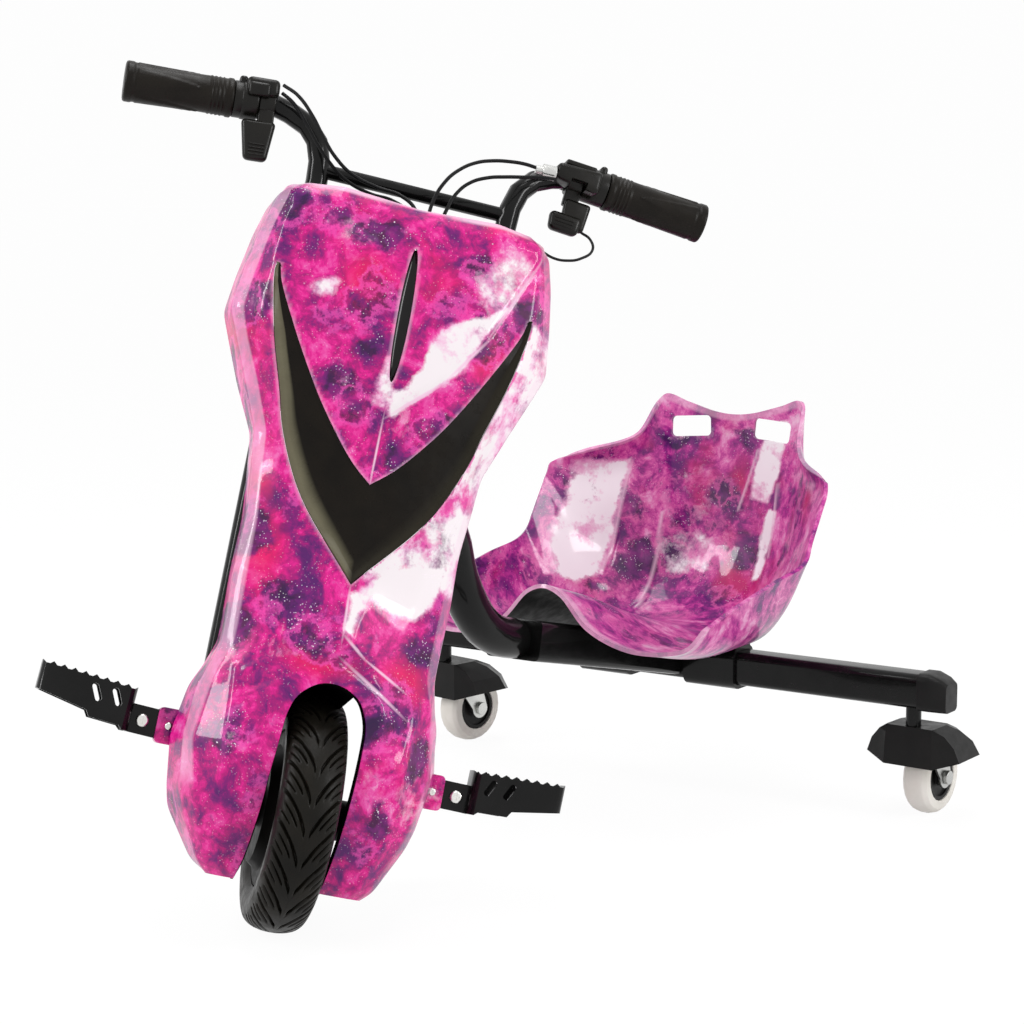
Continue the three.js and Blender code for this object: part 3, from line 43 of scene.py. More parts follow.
# The camera stands in front of the trike and to its left, two metres away and a little above
# the seat. It is a portrait lens on a full-size sensor, held level.
camera_place = Vector((1.2504, -1.8145, 0.6204))
camera_back = Vector((0.5582, -0.8183, 0.1374)).normalized()
camera_right = Vector((0, 0, 1)).cross(camera_back).normalized()
camera_up = camera_back.cross(camera_right)
lens = bpy.data.cameras.new("studio_camera")
lens.sensor_width = 36
lens.lens = 85.03
lens.clip_end = 50
camera = bpy.data.objects.new("studio_camera", lens)
turned_to_trike = Matrix((camera_right, camera_up, camera_back)).transposed().to_4x4()
camera.matrix_world = Matrix.Translation(camera_place) @ turned_to_trike
scene.collection.objects.link(camera)
scene.camera = camera

# The cables are thin black PVC-covered lines, clamped in the thumb controls at one end and led
# down into the fairing to the battery case. They are laid in the front end's own frame: x to the
# rider's left, y back, z up along the steering axis.
wheel_centre = Vector((0, -0.304, 0.0985))
rake = 19
steered = 46.4
front_end = (
    Matrix.Translation(wheel_centre)
    @ Matrix.Rotation(radians(-rake), 4, "X")
    @ Matrix.Rotation(radians(steered), 4, "Z")
)
cable_radius = 0.0016
switch_wire_radius = 0.0012
cable_routes = {
    "throttle_cable": [
        (-128.8, -1, 594), (-118, -4, 587), (-104, -8, 571), (-92, -10, 556), (-79, -10, 543),
        (-62, -10, 531), (-40, -12, 524), (-20, -18, 521), (-8, -26, 512), (-6, -30, 490),
        (-6, -30, 442.6),
    ],
    "throttle_lead": [
        (-128.8, -1, 601), (-116, -9, 593), (-101, -15, 577), (-88, -17, 560), (-76, -17, 547),
        (-58, -17, 535), (-36, -19, 529), (-15, -25, 525), (-1, -32, 513), (1, -37, 490),
        (1, -37, 442.6),
    ],
    "brake_cable": [
        (98, -7, 583), (88, -9, 583), (74, -12, 581), (58, -15, 577), (44, -18, 571),
        (30, -22, 560), (19, -27, 545), (12, -30, 526), (10, -32, 505), (10, -32, 480),
        (10, -32, 442.6),
    ],
    "brake_lead": [
        (116, -14, 575), (104, -17, 573), (88, -18, 569), (72, -19, 565), (56, -20, 560),
        (42, -21, 552), (32, -22, 540), (26, -24, 524), (22, -26, 505), (20, -27, 480),
        (20, -27, 442.6),
    ],
    "switch_wire": [
        (150, 0, 538), (158, -4, 533), (161, -8, 523), (152, -10, 513), (140, -11, 508),
        (128, -12, 507), (116, -14, 510), (104, -18, 514), (88, -22, 515), (66, -26, 510),
        (44, -30, 496), (30, -33, 476), (28, -34, 442.6),
    ],
}


def add_node(tree, kind, inputs=None, **settings):
    made = tree.nodes.new(kind)
    for name, value in settings.items():
        setattr(made, name, value)
    for name, value in (inputs or {}).items():
        if isinstance(value, bpy.types.NodeSocket):
            tree.links.new(value, made.inputs[name])
        else:
            made.inputs[name].default_value = value
    return made


def new_material(name, **sockets):
    material = bpy.data.materials.new(name)
    material.use_nodes = True
    shader = material.node_tree.nodes["Principled BSDF"]
    for socket, value in sockets.items():
        shader.inputs[socket.replace("_", " ").title().replace("Ior", "IOR")].default_value = value
    return material, material.node_tree, shader


def noise(tree, where, scale, detail=4.0, roughness=0.55):
    made = add_node(tree, "ShaderNodeTexNoise", {
        "Vector": where, "Scale": scale, "Detail": detail, "Roughness": roughness,
    })
    return made.outputs["Fac"]


def ramp(tree, value, stops):
    made = add_node(tree, "ShaderNodeValToRGB", {"Fac": value})
    while len(made.color_ramp.elements) < len(stops):
        made.color_ramp.elements.new(1)
    for element, (at, colour) in zip(made.color_ramp.elements, stops):
        element.position = at
        element.color = (*colour, 1) if len(colour) == 3 else colour
    return made.outputs["Color"]


def span(tree, value, low, high, start=0.0, end=1.0):
    made = add_node(tree, "ShaderNodeMapRange", {
        "Value": value, "From Min": low, "From Max": high, "To Min": start, "To Max": end,
    })
    return made.outputs["Result"]


def bump(tree, shader, height, distance, strength=1.0):
    made = add_node(tree, "ShaderNodeBump", {
        "Height": height, "Distance": distance, "Strength": strength,
    })
    tree.links.new(made.outputs["Normal"], shader.inputs["Normal"])
    return made


def object_place(tree):
    """Where each shaded spot is on the object, in metres."""
    return add_node(tree, "ShaderNodeTexCoord").outputs["Object"]


def moulded_look(name, dark, light, rough_low, rough_high, grain, grain_depth, **sockets):
    """A plain material with drifting colour, uneven gloss and a fine grain."""
    material, tree, shader = new_material(name, **sockets)
    where = object_place(tree)
    cloud = noise(tree, where, 35, 5)
    tree.links.new(ramp(tree, cloud, [(0.3, dark), (0.75, light)]), shader.inputs["Base Color"])
    smear = noise(tree, where, 110, 3)
    tree.links.new(span(tree, smear, 0.3, 0.7, rough_low, rough_high), shader.inputs["Roughness"])
    bump(tree, shader, noise(tree, where, grain, 2), grain_depth)
    return material


cable_look = moulded_look(
    "cable_cover", (0.004, 0.004, 0.005), (0.009, 0.009, 0.009), 0.35, 0.5, 1500, 0.00004,
    specular_ior_level=0.15,
)


def alone(obj):
    bpy.ops.object.select_all(action="DESELECT")
    obj.select_set(True)
    bpy.context.view_layer.objects.active = obj


def settle(obj, place=None):
    """Put the object's place into its mesh."""
    if place is not None:
        obj.matrix_world = place @ obj.matrix_world
    alone(obj)
    bpy.ops.object.transform_apply(location=True, rotation=True, scale=True)


def smooth(obj, degrees=35):
    alone(obj)
    bpy.ops.object.shade_smooth_by_angle(angle=radians(degrees))


for cable_name, cable_route in cable_routes.items():
    thin = cable_name == "switch_wire"
    line = bpy.data.curves.new(cable_name + "_line", "CURVE")
    line.dimensions = "3D"
    line.bevel_depth = switch_wire_radius if thin else cable_radius
    line.bevel_resolution = 3
    line.resolution_u = 10
    line.use_fill_caps = True
    spline = line.splines.new("BEZIER")
    spline.bezier_points.add(len(cable_route) - 1)
    for bend, (x, y, z) in zip(spline.bezier_points, cable_route):
        bend.co = Vector((x, y, z)) / 1000
        bend.handle_left_type = bend.handle_right_type = "AUTO"
    cable_piece = bpy.data.objects.new(cable_name + "_line", line)
    scene.collection.objects.link(cable_piece)
    alone(cable_piece)
    bpy.ops.object.convert(target="MESH")
    cable_piece = bpy.context.object
    settle(cable_piece, front_end)
    smooth(cable_piece)
    cable_piece.data.materials.append(cable_look)
    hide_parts(cable_name)
    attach(cable_piece, "front_end")

# The fairing is one vacuum-formed ABS skin, 3 mm thick, with a printed nebula film under a clear
# gloss coat. It has a raised shield on its chest, a folded face and two boxed leg guards, and
# screws to the fork behind it.
fairing_bottom = -0.061
fairing_height = 0.573
fairing_half_width = 0.137
fairing_depth = 0.084
fairing_wall = 0.003
shoulder_level = 0.95
shoulder_rise = 0.004
# Each row is a level up the fairing, then shares of its half width and depth at the back edge, the
# side, the edge of the face, the outer crease and the inner crease, and its depth in the middle
fairing_levels = [
    (0, 0.442, -0.1, 0.472, 0.33, 0.442, 0.4, 0.38, 0.45, 0.29, 0.45, 0.43),
    (0.012, 0.542, -0.1, 0.532, 0.36, 0.492, 0.45, 0.42, 0.55, 0.31, 0.57, 0.55),
    (0.082, 0.742, -0.18, 0.682, 0.33, 0.622, 0.55, 0.5, 0.73, 0.34, 0.76, 0.74),
    (0.112, 0.772, -0.17, 0.722, 0.33, 0.662, 0.57, 0.51, 0.77, 0.34, 0.82, 0.81),
    (0.185, 0.822, 0, 0.762, 0.35, 0.732, 0.49, 0.53, 0.81, 0.34, 0.88, 0.88),
    (0.258, 0.772, 0.02, 0.742, 0.33, 0.682, 0.51, 0.55, 0.71, 0.35, 0.9, 0.95),
    (0.284, 0.722, 0.075, 0.702, 0.38, 0.662, 0.54, 0.54, 0.7, 0.31, 0.9, 0.98),
    (0.325, 0.66, 0.075, 0.66, 0.45, 0.6, 0.55, 0.48, 0.71, 0.2, 0.92, 0.98),
    (0.358, 0.66, 0.075, 0.66, 0.45, 0.6, 0.55, 0.44, 0.69, 0.06, 0.98, 1),
    (0.436, 0.67, 0.075, 0.67, 0.45, 0.61, 0.55, 0.44, 0.68, 0.15, 0.8, 0.83),
    (0.51, 0.66, 0.075, 0.66, 0.44, 0.61, 0.54, 0.47, 0.68, 0.22, 0.79, 0.8),
    (0.576, 0.69, 0.075, 0.69, 0.43, 0.64, 0.52, 0.53, 0.69, 0.29, 0.79, 0.8),
    (0.63, 0.71, 0.04, 0.71, 0.4, 0.65, 0.5, 0.58, 0.68, 0.33, 0.8, 0.81),
    (0.703, 0.845, -0.1, 0.83, 0.38, 0.77, 0.48, 0.68, 0.69, 0.36, 0.81, 0.83),
    (0.761, 0.945, -0.1, 0.93, 0.36, 0.88, 0.45, 0.76, 0.68, 0.4, 0.81, 0.85),
    (0.803, 1.015, -0.1, 1, 0.35, 0.94, 0.45, 0.82, 0.67, 0.44, 0.81, 0.85),
    (0.86, 0.985, -0.1, 0.97, 0.4, 0.91, 0.5, 0.82, 0.68, 0.48, 0.8, 0.82),
    (0.927, 0.935, -0.1, 0.92, 0.46, 0.86, 0.56, 0.8, 0.68, 0.51, 0.77, 0.79),
    (0.979, 0.875, -0.1, 0.86, 0.5, 0.8, 0.6, 0.76, 0.67, 0.53, 0.73, 0.73),
    (0.993, 0.8, -0.1, 0.8, 0.4, 0.74, 0.5, 0.7, 0.57, 0.48, 0.63, 0.63),
]
# How much of the shoulder's rise each column takes, from the middle of the face to the back edge
rises = [0, 1, 0.3, 0, 0, 0]


def fairing_row(level):
    up = fairing_bottom + level[0] * fairing_height
    half = [(0, level[11])] + [(level[k], level[k + 1]) for k in (9, 7, 5, 3, 1)]
    lift = shoulder_rise if level[0] > shoulder_level else 0
    points = [
        (x * fairing_half_width, -ahead * fairing_depth, up + lift * rise)
        for (x, ahead), rise in zip(half, rises)
    ]
    return [(-x, y, z) for x, y, z in points[:0:-1]] + points


def between(start, end, count):
    steps = np.linspace(0, 1, count, endpoint=False).reshape(-1, *[1] * start.ndim)
    return start + (end - start) * steps


def refined(rows, counts):
    parts = [between(rows[i], rows[i + 1], n) for i, n in enumerate(counts)]
    return np.concatenate([*parts, rows[-1:]])


def eased(grid, rounds):
    """Round the folds across the first axis of the grid, its two ends held."""
    for _ in range(rounds):
        middle = (grid[:-2] + 2 * grid[1:-1] + grid[2:]) / 4
        grid = np.concatenate([grid[:1], middle, grid[-1:]])
    return grid


def grid_normals(grid):
    across = np.gradient(grid, axis=1)
    along = np.gradient(grid, axis=0)
    facing = np.cross(across, along)
    return facing / np.maximum(np.linalg.norm(facing, axis=2, keepdims=True), 1e-12)


def ramped(value, width):
    share = np.clip(value / width, 0, 1)
    return share * share * (3 - 2 * share)


def ridge(gap, reach, rise):
    """Relief along a line: its full rise on the line and nought at its reach."""
    return ramped(reach - gap, reach) * rise


def line_gap(x, z, points):
    """Distance of each place (x, z) from a line of points."""
    best = np.full(x.shape, 1e9)
    for (x0, z0), (x1, z1) in zip(points, points[1:]):
        length = (x1 - x0) ** 2 + (z1 - z0) ** 2
        share = np.clip(((x - x0) * (x1 - x0) + (z - z0) * (z1 - z0)) / length, 0, 1)
        gap = np.hypot(x - x0 - share * (x1 - x0), z - z0 - share * (z1 - z0))
        best = np.minimum(best, gap)
    return best


def grid_piece(name, grid):
    """A sheet laid out as a plain grid and then pulled to shape."""
    rows, columns = grid.shape[:2]
    bpy.ops.object.select_all(action="DESELECT")
    bpy.ops.mesh.primitive_grid_add(x_subdivisions=columns - 1, y_subdivisions=rows - 1, size=1)
    made = bpy.context.object
    made.name = name
    made.data.vertices.foreach_set("co", grid.reshape(-1))
    made.data.update()
    return made


# Edges of the V opening, outer and inner, from its tip to its lowest point, as shares of the
# fairing's half width and height
v_outer = [
    (0.794, 0.870), (0.806, 0.864), (0.803, 0.848), (0.740, 0.7725), (0.628, 0.6828),
    (0.586, 0.6448), (0.421, 0.557), (0, 0.4345),
]
v_inner = [
    (0.786, 0.870), (0.774, 0.864), (0.757, 0.848), (0.616, 0.779), (0.408, 0.693), (0.280, 0.65),
    (0.134, 0.6086), (0, 0.581),
]
v_steps = 9


def smooth_line(points, steps):
    """Smooth curves through points, spaced by their chords; a list of rows gives a surface."""
    points = np.asarray(points, float)
    points = np.concatenate([[2 * points[0] - points[1]], points, [2 * points[-1] - points[-2]]])
    chords = np.linalg.norm(np.diff(points, axis=0), axis=-1, keepdims=True) ** 0.5
    knots = np.concatenate([chords[:1] * 0, np.cumsum(chords, axis=0)])
    made = []
    for k in range(len(points) - 3):
        knot = knots[k:k + 4]
        for share in np.linspace(0, 1, steps, endpoint=False):
            t = knot[1] + (knot[2] - knot[1]) * share
            level = points[k:k + 4]
            for spans in ([(0, 1), (1, 2), (2, 3)], [(0, 2), (1, 3)], [(1, 2)]):
                level = [
                    ((knot[high] - t) * level[i] + (t - knot[low]) * level[i + 1])
                    / (knot[high] - knot[low])
                    for i, (low, high) in enumerate(spans)
                ]
            made.append(level[0])
    return np.array([*made, points[-2]])


def v_places(shares):
    curve = smooth_line(shares, v_steps)
    return curve * (fairing_half_width, fairing_height) + (0, fairing_bottom)


v_outer_line = v_places(v_outer)
v_inner_line = v_places(v_inner)
slot_low = fairing_bottom + 0.7312 * fairing_height
slot_high = fairing_bottom + 0.932 * fairing_height
slot_half_width = 0.0055
slot_turns = np.linspace(0, pi, 33)


def slot_line(grown):
    """The +X half of the slot's outline from its top, grown or shrunk all round."""
    across = (slot_half_width + grown) * np.sin(slot_turns)
    up = (slot_low + slot_high) / 2 + ((slot_high - slot_low) / 2 + grown) * np.cos(slot_turns)
    return np.stack([across, up], axis=1)


# The levels are filled in to a fine grid. Its folds are kept crisp but on the shin, where the skin
# is softly rounded
grid_step = 0.0024
crisp_rounds = 5
soft_rounds = 26
fairing_rows = np.array([fairing_row(level) for level in fairing_levels])
level_counts = [max(2, round((b[0] - a[0]) * fairing_height / grid_step))
                for a, b in zip(fairing_levels, fairing_levels[1:])]
face_counts = [12, 6, 10, 16, 22]
strip_columns = list(range(face_counts[0], face_counts[0] + face_counts[1] + 1))
fairing_grid = refined(fairing_rows, level_counts)
fairing_grid = np.swapaxes(fairing_grid, 0, 1)
fairing_grid = np.swapaxes(refined(fairing_grid, face_counts + face_counts[::-1]), 0, 1)
crisp = eased(fairing_grid, crisp_rounds)
soft = eased(fairing_grid, soft_rounds)
height = fairing_grid[:, :1, 2:]
shin = ramped(height - 0.13, 0.03) * ramped(0.31 - height, 0.03)
fairing_grid = crisp + (soft - crisp) * shin
fairing_grid = np.swapaxes(eased(np.swapaxes(fairing_grid, 0, 1), 2), 0, 1)

# Relief of the face: the raised shield, the brow over the wheel arch, the ribs of the leg guards,
# and the lips of the openings
face_x = np.abs(fairing_grid[:, :, 0])
face_z = fairing_grid[:, :, 2]
shield_foot = 0.329
shield_rise = 0.0021
shield_line = [(0, 0.329), (0.0469, 0.370), (0.0757, 0.4135), (0.1098, 0.491), (0.132, 0.56)]
shield_edge = np.interp(face_z, [z for _, z in shield_line], [x for x, _ in shield_line])
inside_shield = (face_z > shield_foot) & (face_x < shield_edge)
shield_gap = line_gap(face_x, face_z, shield_line)
shield = np.where(inside_shield, ramped(shield_gap, 0.004), 0) * shield_rise
brow_line = [(0, 0.1475), (0.0237, 0.1288), (0.0606, 0.1114), (0.070, 0.1035)]
brow_groove = [(0, 0.1265), (0.0347, 0.1088), (0.0677, 0.0898)]
leg_rib = [(0.0765, 0.106), (0.0742, 0.078), (0.0725, 0.025), (0.0755, 0.014)]
v_gap = np.minimum(line_gap(face_x, face_z, v_outer_line), line_gap(face_x, face_z, v_inner_line))
slot_gap = line_gap(face_x, face_z, slot_line(0))
relief = shield + ridge(line_gap(face_x, face_z, brow_groove), 0.0035, -0.0013)
relief = relief + ridge(line_gap(face_x, face_z, brow_line), 0.004, 0.0014)
relief = relief + ridge(line_gap(face_x, face_z, leg_rib), 0.003, 0.0011)
relief = relief + ridge(v_gap, 0.004, 0.0008)
relief = relief + ridge(slot_gap, 0.004, 0.0008)
on_face = ramped(-fairing_grid[:, :, 1] - 0.030, 0.006)
fairing_grid = fairing_grid + grid_normals(fairing_grid) * (relief * on_face)[:, :, None]

print_grid = fairing_grid
fairing_skin = grid_piece("fairing_skin", fairing_grid)
face_tree = BVHTree.FromPolygons(
    [v.co.copy() for v in fairing_skin.data.vertices],
    [tuple(p.vertices) for p in fairing_skin.data.polygons],
)


def face_depth(x, z):
    """How far in front of the steering axis the face of the fairing stands at a place."""
    hit = face_tree.ray_cast(Vector((x, -0.3, z)), Vector((0, 1, 0)), 0.35)
    return -hit[0].y if hit[0] else 0.0


def merged(obj):
    """Merge doubles and turn the faces outwards, before a wall is given."""
    alone(obj)
    bpy.ops.object.mode_set(mode="EDIT")
    bpy.ops.mesh.select_all(action="SELECT")
    bpy.ops.mesh.remove_doubles(threshold=0.00001)
    bpy.ops.mesh.normals_make_consistent(inside=False)
    bpy.ops.object.mode_set(mode="OBJECT")


def thicken(obj, wall, offset=-1, looks=(), even=True):
    """Give a sheet its wall; a second look goes on its hidden side."""
    obj.data.materials.clear()
    for look in looks:
        obj.data.materials.append(look)
    made = obj.modifiers.new("wall", "SOLIDIFY")
    made.thickness = wall
    made.material_offset = len(looks) - 1 if looks else 0
    made.offset = offset
    made.use_even_offset = even
    alone(obj)
    bpy.ops.object.modifier_apply(modifier=made.name)


def plug(name, outline, front, back):
    """A cutter with a front-view outline, running from one depth to another."""
    count = len(outline)
    points = [(x, y, z) for y in (front, back) for x, z in outline]
    faces = [tuple(range(count)), tuple(range(2 * count - 1, count - 1, -1))]
    faces += [(i, i + count, (i + 1) % count + count, (i + 1) % count) for i in range(count)]
    mesh = bpy.data.meshes.new(name)
    mesh.from_pydata(points, [], faces)
    made = bpy.data.objects.new(name, mesh)
    scene.collection.objects.link(made)
    alone(made)
    bpy.ops.object.mode_set(mode="EDIT")
    bpy.ops.mesh.select_all(action="SELECT")
    bpy.ops.mesh.normals_make_consistent(inside=False)
    bpy.ops.object.mode_set(mode="OBJECT")
    return made


def cut_out(obj, cutter):
    made = obj.modifiers.new("opening", "BOOLEAN")
    made.solver = "EXACT"
    made.object = cutter
    alone(obj)
    bpy.ops.object.modifier_apply(modifier=made.name)
    bpy.data.objects.remove(cutter)


def both_sides(half):
    """A closed outline from its +X half, listed from one end to the other."""
    return [(x, z) for x, z in half] + [(-x, z) for x, z in half[::-1] if x > 1e-6]


# The wheel arch as seen from the front, from its left foot over the crown to its right foot
arch_places = [
    (-0.0445, -0.075), (-0.0425, -0.058), (-0.0395, -0.040), (-0.0370, -0.013), (-0.0358, 0.006),
    (-0.0350, 0.026), (-0.0335, 0.047), (-0.0325, 0.062), (-0.0310, 0.077), (-0.0255, 0.092),
    (-0.0120, 0.1035), (0.0, 0.1060), (0.0125, 0.1038), (0.0245, 0.0965), (0.0310, 0.0860),
    (0.0345, 0.0745), (0.0353, 0.062), (0.0353, 0.045), (0.0350, 0.030), (0.0342, 0.012),
    (0.0332, -0.006), (0.0322, -0.022), (0.0305, -0.040), (0.0285, -0.056), (0.0270, -0.075),
]


def arch_line(steps):
    """The arch's outline with a number of steps between its places."""
    return [(float(x), float(z)) for x, z in smooth_line(arch_places, steps)]


def math_node(tree, operation, first, second):
    return add_node(tree, "ShaderNodeMath", {0: first, 1: second}, operation=operation).outputs[0]


def patch_sum(tree, where, patches):
    """Soft ellipses of 0 to 1 at places on the object: centre, half sizes, lean."""
    total = 0.0
    for centre, sizes, lean in patches:
        mapped = add_node(tree, "ShaderNodeMapping", {
            "Vector": where, "Location": centre, "Rotation": (0, radians(lean), 0), "Scale": sizes,
        }, vector_type="TEXTURE")
        blob = add_node(tree, "ShaderNodeTexGradient", {"Vector": mapped.outputs[0]},
                        gradient_type="SPHERICAL").outputs["Fac"]
        total = math_node(tree, "MAXIMUM", total, blob)
    return total


def mix(tree, share, first, second):
    made = add_node(tree, "ShaderNodeMix", data_type="RGBA")
    for index, value in ((0, share), (6, first), (7, second)):
        if isinstance(value, bpy.types.NodeSocket):
            tree.links.new(value, made.inputs[index])
        else:
            made.inputs[index].default_value = value if index == 0 else (*value, 1)
    return made.outputs[2]


def film_look(name, turn, shift, tones, dark_patches, red_patches, highlight_marks):
    """Printed nebula film under clear gloss: cloudy pinks, violet star fields, pale mist, with
    painted highlights along creases and edges.
    """
    material, tree, shader = new_material(
        name, coat_weight=0.4, coat_roughness=0.05, coat_ior=1.5, specular_ior_level=0.15,
    )
    where = add_node(tree, "ShaderNodeMapping", {
        "Vector": object_place(tree), "Rotation": turn, "Location": shift,
    }).outputs[0]
    drift = add_node(tree, "ShaderNodeTexNoise", {"Vector": where, "Scale": 16.0, "Detail": 5.0})
    stir = add_node(tree, "ShaderNodeVectorMath", {
        0: drift.outputs["Color"], 1: (0.5, 0.5, 0.5),
    }, operation="SUBTRACT")
    stir = add_node(tree, "ShaderNodeVectorMath", {
        0: stir.outputs[0], "Scale": 0.045,
    }, operation="SCALE")
    stirred = add_node(tree, "ShaderNodeVectorMath", {
        0: where, 1: stir.outputs[0],
    }, operation="ADD").outputs[0]
    # the pink clouds, then the red ones over them
    broad = noise(tree, stirred, 20, 5)
    cloud = noise(tree, stirred, 62, 9, 0.68)
    cloud = math_node(tree, "ADD", math_node(tree, "MULTIPLY", broad, 0.55),
                      math_node(tree, "MULTIPLY", cloud, 0.60))
    colour = ramp(tree, cloud, [
        (0.455, tones["violet"]), (0.520, tones["plum"]), (0.570, tones["magenta"]),
        (0.625, tones["pink"]), (0.695, tones["rose"]), (0.765, tones["mist"]),
    ])
    red = patch_sum(tree, stirred, red_patches)
    ember = noise(tree, where, 11, 6)
    red = math_node(tree, "MAXIMUM", span(tree, red, 0.1, 0.8), span(tree, ember, 0.58, 0.72))
    colour = mix(tree, math_node(tree, "MULTIPLY", red, 0.8), colour, tones["crimson"])
    # the dark star fields: ragged cells and the placed patches, with a glowing rim
    cells = add_node(tree, "ShaderNodeTexVoronoi", {
        "Vector": stirred, "Scale": 19.0, "Randomness": 1.0,
    })
    ragged = math_node(tree, "ADD", cells.outputs["Distance"], noise(tree, where, 70, 7, 0.7))
    thinned = span(tree, noise(tree, where, 13, 2), 0.44, 0.56, 0.22, 0.0)
    ragged = math_node(tree, "ADD", ragged, thinned)
    hollow = span(tree, ragged, 0.94, 0.70)
    placed = patch_sum(tree, stirred, dark_patches)
    frayed = span(tree, noise(tree, where, 60, 7, 0.7), 0.3, 0.7, -0.3, 0.3)
    placed = math_node(tree, "ADD", placed, frayed)
    dark = math_node(tree, "MAXIMUM", hollow, span(tree, placed, 0.15, 0.45))
    deep = ramp(tree, noise(tree, stirred, 85, 6), [
        (0.40, tones["ink"]), (0.52, tones["violet"]), (0.66, tones["plum"]),
    ])
    colour = mix(tree, math_node(tree, "MULTIPLY", dark, 0.92), colour, deep)
    rim = math_node(
        tree, "MULTIPLY", span(tree, ragged, 1.02, 0.92), span(tree, ragged, 0.82, 0.90))
    colour = mix(tree, math_node(tree, "MULTIPLY", rim, 0.6), colour, tones["glow"])
    # the pale clouds, where the film_tint attribute lays them, on the fairing partly as a painted
    # reflection of the lamps, and in thin wisps
    painted = add_node(tree, "ShaderNodeAttribute", attribute_name="film_tint")
    parts = add_node(tree, "ShaderNodeSeparateColor", {"Color": painted.outputs["Color"]})
    torn = span(tree, noise(tree, where, 42, 8, 0.68), 0.3, 0.7, -0.34, 0.34)
    core = math_node(tree, "ADD", parts.outputs["Red"], torn)
    wisps = span(tree, noise(tree, stirred, 15, 8, 0.7), 0.60, 0.72, 0, 0.75)
    mist = math_node(tree, "MAXIMUM", span(tree, core, 0.36, 0.74), wisps)
    paler = span(tree, core, 0.55, 1.10, -0.08, 0.20)
    haze = ramp(tree, math_node(tree, "ADD", noise(tree, stirred, 26, 7), paler), [
        (0.33, tones["rose"]), (0.44, tones["mist"]), (0.55, tones["white"]),
    ])
    colour = mix(tree, mist, colour, haze)
    # three sizes of stars, thicker on the dark fields
    for scale, radius, gate in ((420.0, 0.24, 0.48), (230.0, 0.15, 0.50), (110.0, 0.10, 0.50)):
        field = add_node(tree, "ShaderNodeTexVoronoi", {"Vector": where, "Scale": scale})
        lit = span(tree, field.outputs["Distance"], radius, radius * 0.4)
        crowd = span(tree, noise(tree, where, 24 + scale / 9, 3), gate, gate + 0.08)
        thick = span(tree, dark, 0.0, 0.7, 0.3, 1.0)
        lit = math_node(tree, "MULTIPLY", math_node(tree, "MULTIPLY", lit, crowd), thick)
        colour = mix(tree, lit, colour, tones["star"])
    # painted highlights along the edges and creases
    highlight_lines = span(tree, patch_sum(tree, where, highlight_marks), 0.0, 0.75, 0.0, 0.9) if highlight_marks else 0.0
    edge_highlight = math_node(tree, "MAXIMUM", parts.outputs["Green"], highlight_lines)
    colour = mix(tree, edge_highlight, colour, tones["edge"])
    tree.links.new(colour, shader.inputs["Base Color"])
    handled = noise(tree, where, 26, 6, 0.7)
    tree.links.new(span(tree, handled, 0.3, 0.7, 0.26, 0.42), shader.inputs["Roughness"])
    wave = bump(tree, shader, noise(tree, where, 40, 2), 0.0005, 0.3)
    tree.links.new(wave.outputs["Normal"], shader.inputs["Coat Normal"])
    return material


def print_shares(pale_share, highlight_share):
    """The pale layer and the painted edge highlight of a grid as the channels of a colour."""
    none = np.zeros(pale_share.shape)
    return np.stack([pale_share, highlight_share, none, none + 1], axis=2).reshape(-1, 4)


def tint(piece, places, shares):
    """Give a piece its print and painted light: how pale it is and how strong its painted edge
    highlight is, from the nearest known place.
    """
    tree = KDTree(len(places))
    for index, place in enumerate(places):
        tree.insert(place, index)
    tree.balance()
    nearest = [tree.find(vertex.co)[1] for vertex in piece.data.vertices]
    layer = piece.data.attributes.new("film_tint", "FLOAT_COLOR", "POINT")
    layer.data.foreach_set("color", shares[nearest].reshape(-1))


# In the tones, "edge" is the colour of the painted highlights along creases and edges
bright_tones = {
    "ink": (0.020, 0.002, 0.045), "violet": (0.090, 0.004, 0.125), "plum": (0.22, 0.003, 0.16),
    "magenta": (0.47, 0.003, 0.18), "pink": (0.76, 0.008, 0.27), "rose": (0.82, 0.10, 0.42),
    "mist": (0.88, 0.52, 0.72), "white": (0.90, 0.83, 0.86), "crimson": (0.78, 0.002, 0.11),
    "star": (0.98, 0.88, 0.97), "glow": (0.90, 0.08, 0.46), "edge": (0.90, 0.58, 0.76),
}
front_turn = (radians(rake), 0, radians(-steered))
front_shift = tuple(
    Matrix.Rotation(radians(-steered), 3, "Z") @ Matrix.Rotation(radians(rake), 3, "X")
    @ -wheel_centre
)


def crease_highlight(start, end, width):
    """A painted pale highlight line between two places on the face, tapering to both ends."""
    (x0, z0), (x1, z1) = start, end
    middle = ((x0 + x1) / 2, -0.06, (z0 + z1) / 2)
    length = sqrt((x1 - x0) ** 2 + (z1 - z0) ** 2)
    lean = atan2(x1 - x0, z1 - z0) * 180 / pi
    return middle, (width, 0.2, length / 2 * 1.12), lean


def spot(x, z, wide, high, lean=0, ahead=0.06):
    """A soft spot of the print as seen from the front, reaching through the face."""
    return (x, -ahead, z), (wide, 0.2, high), lean


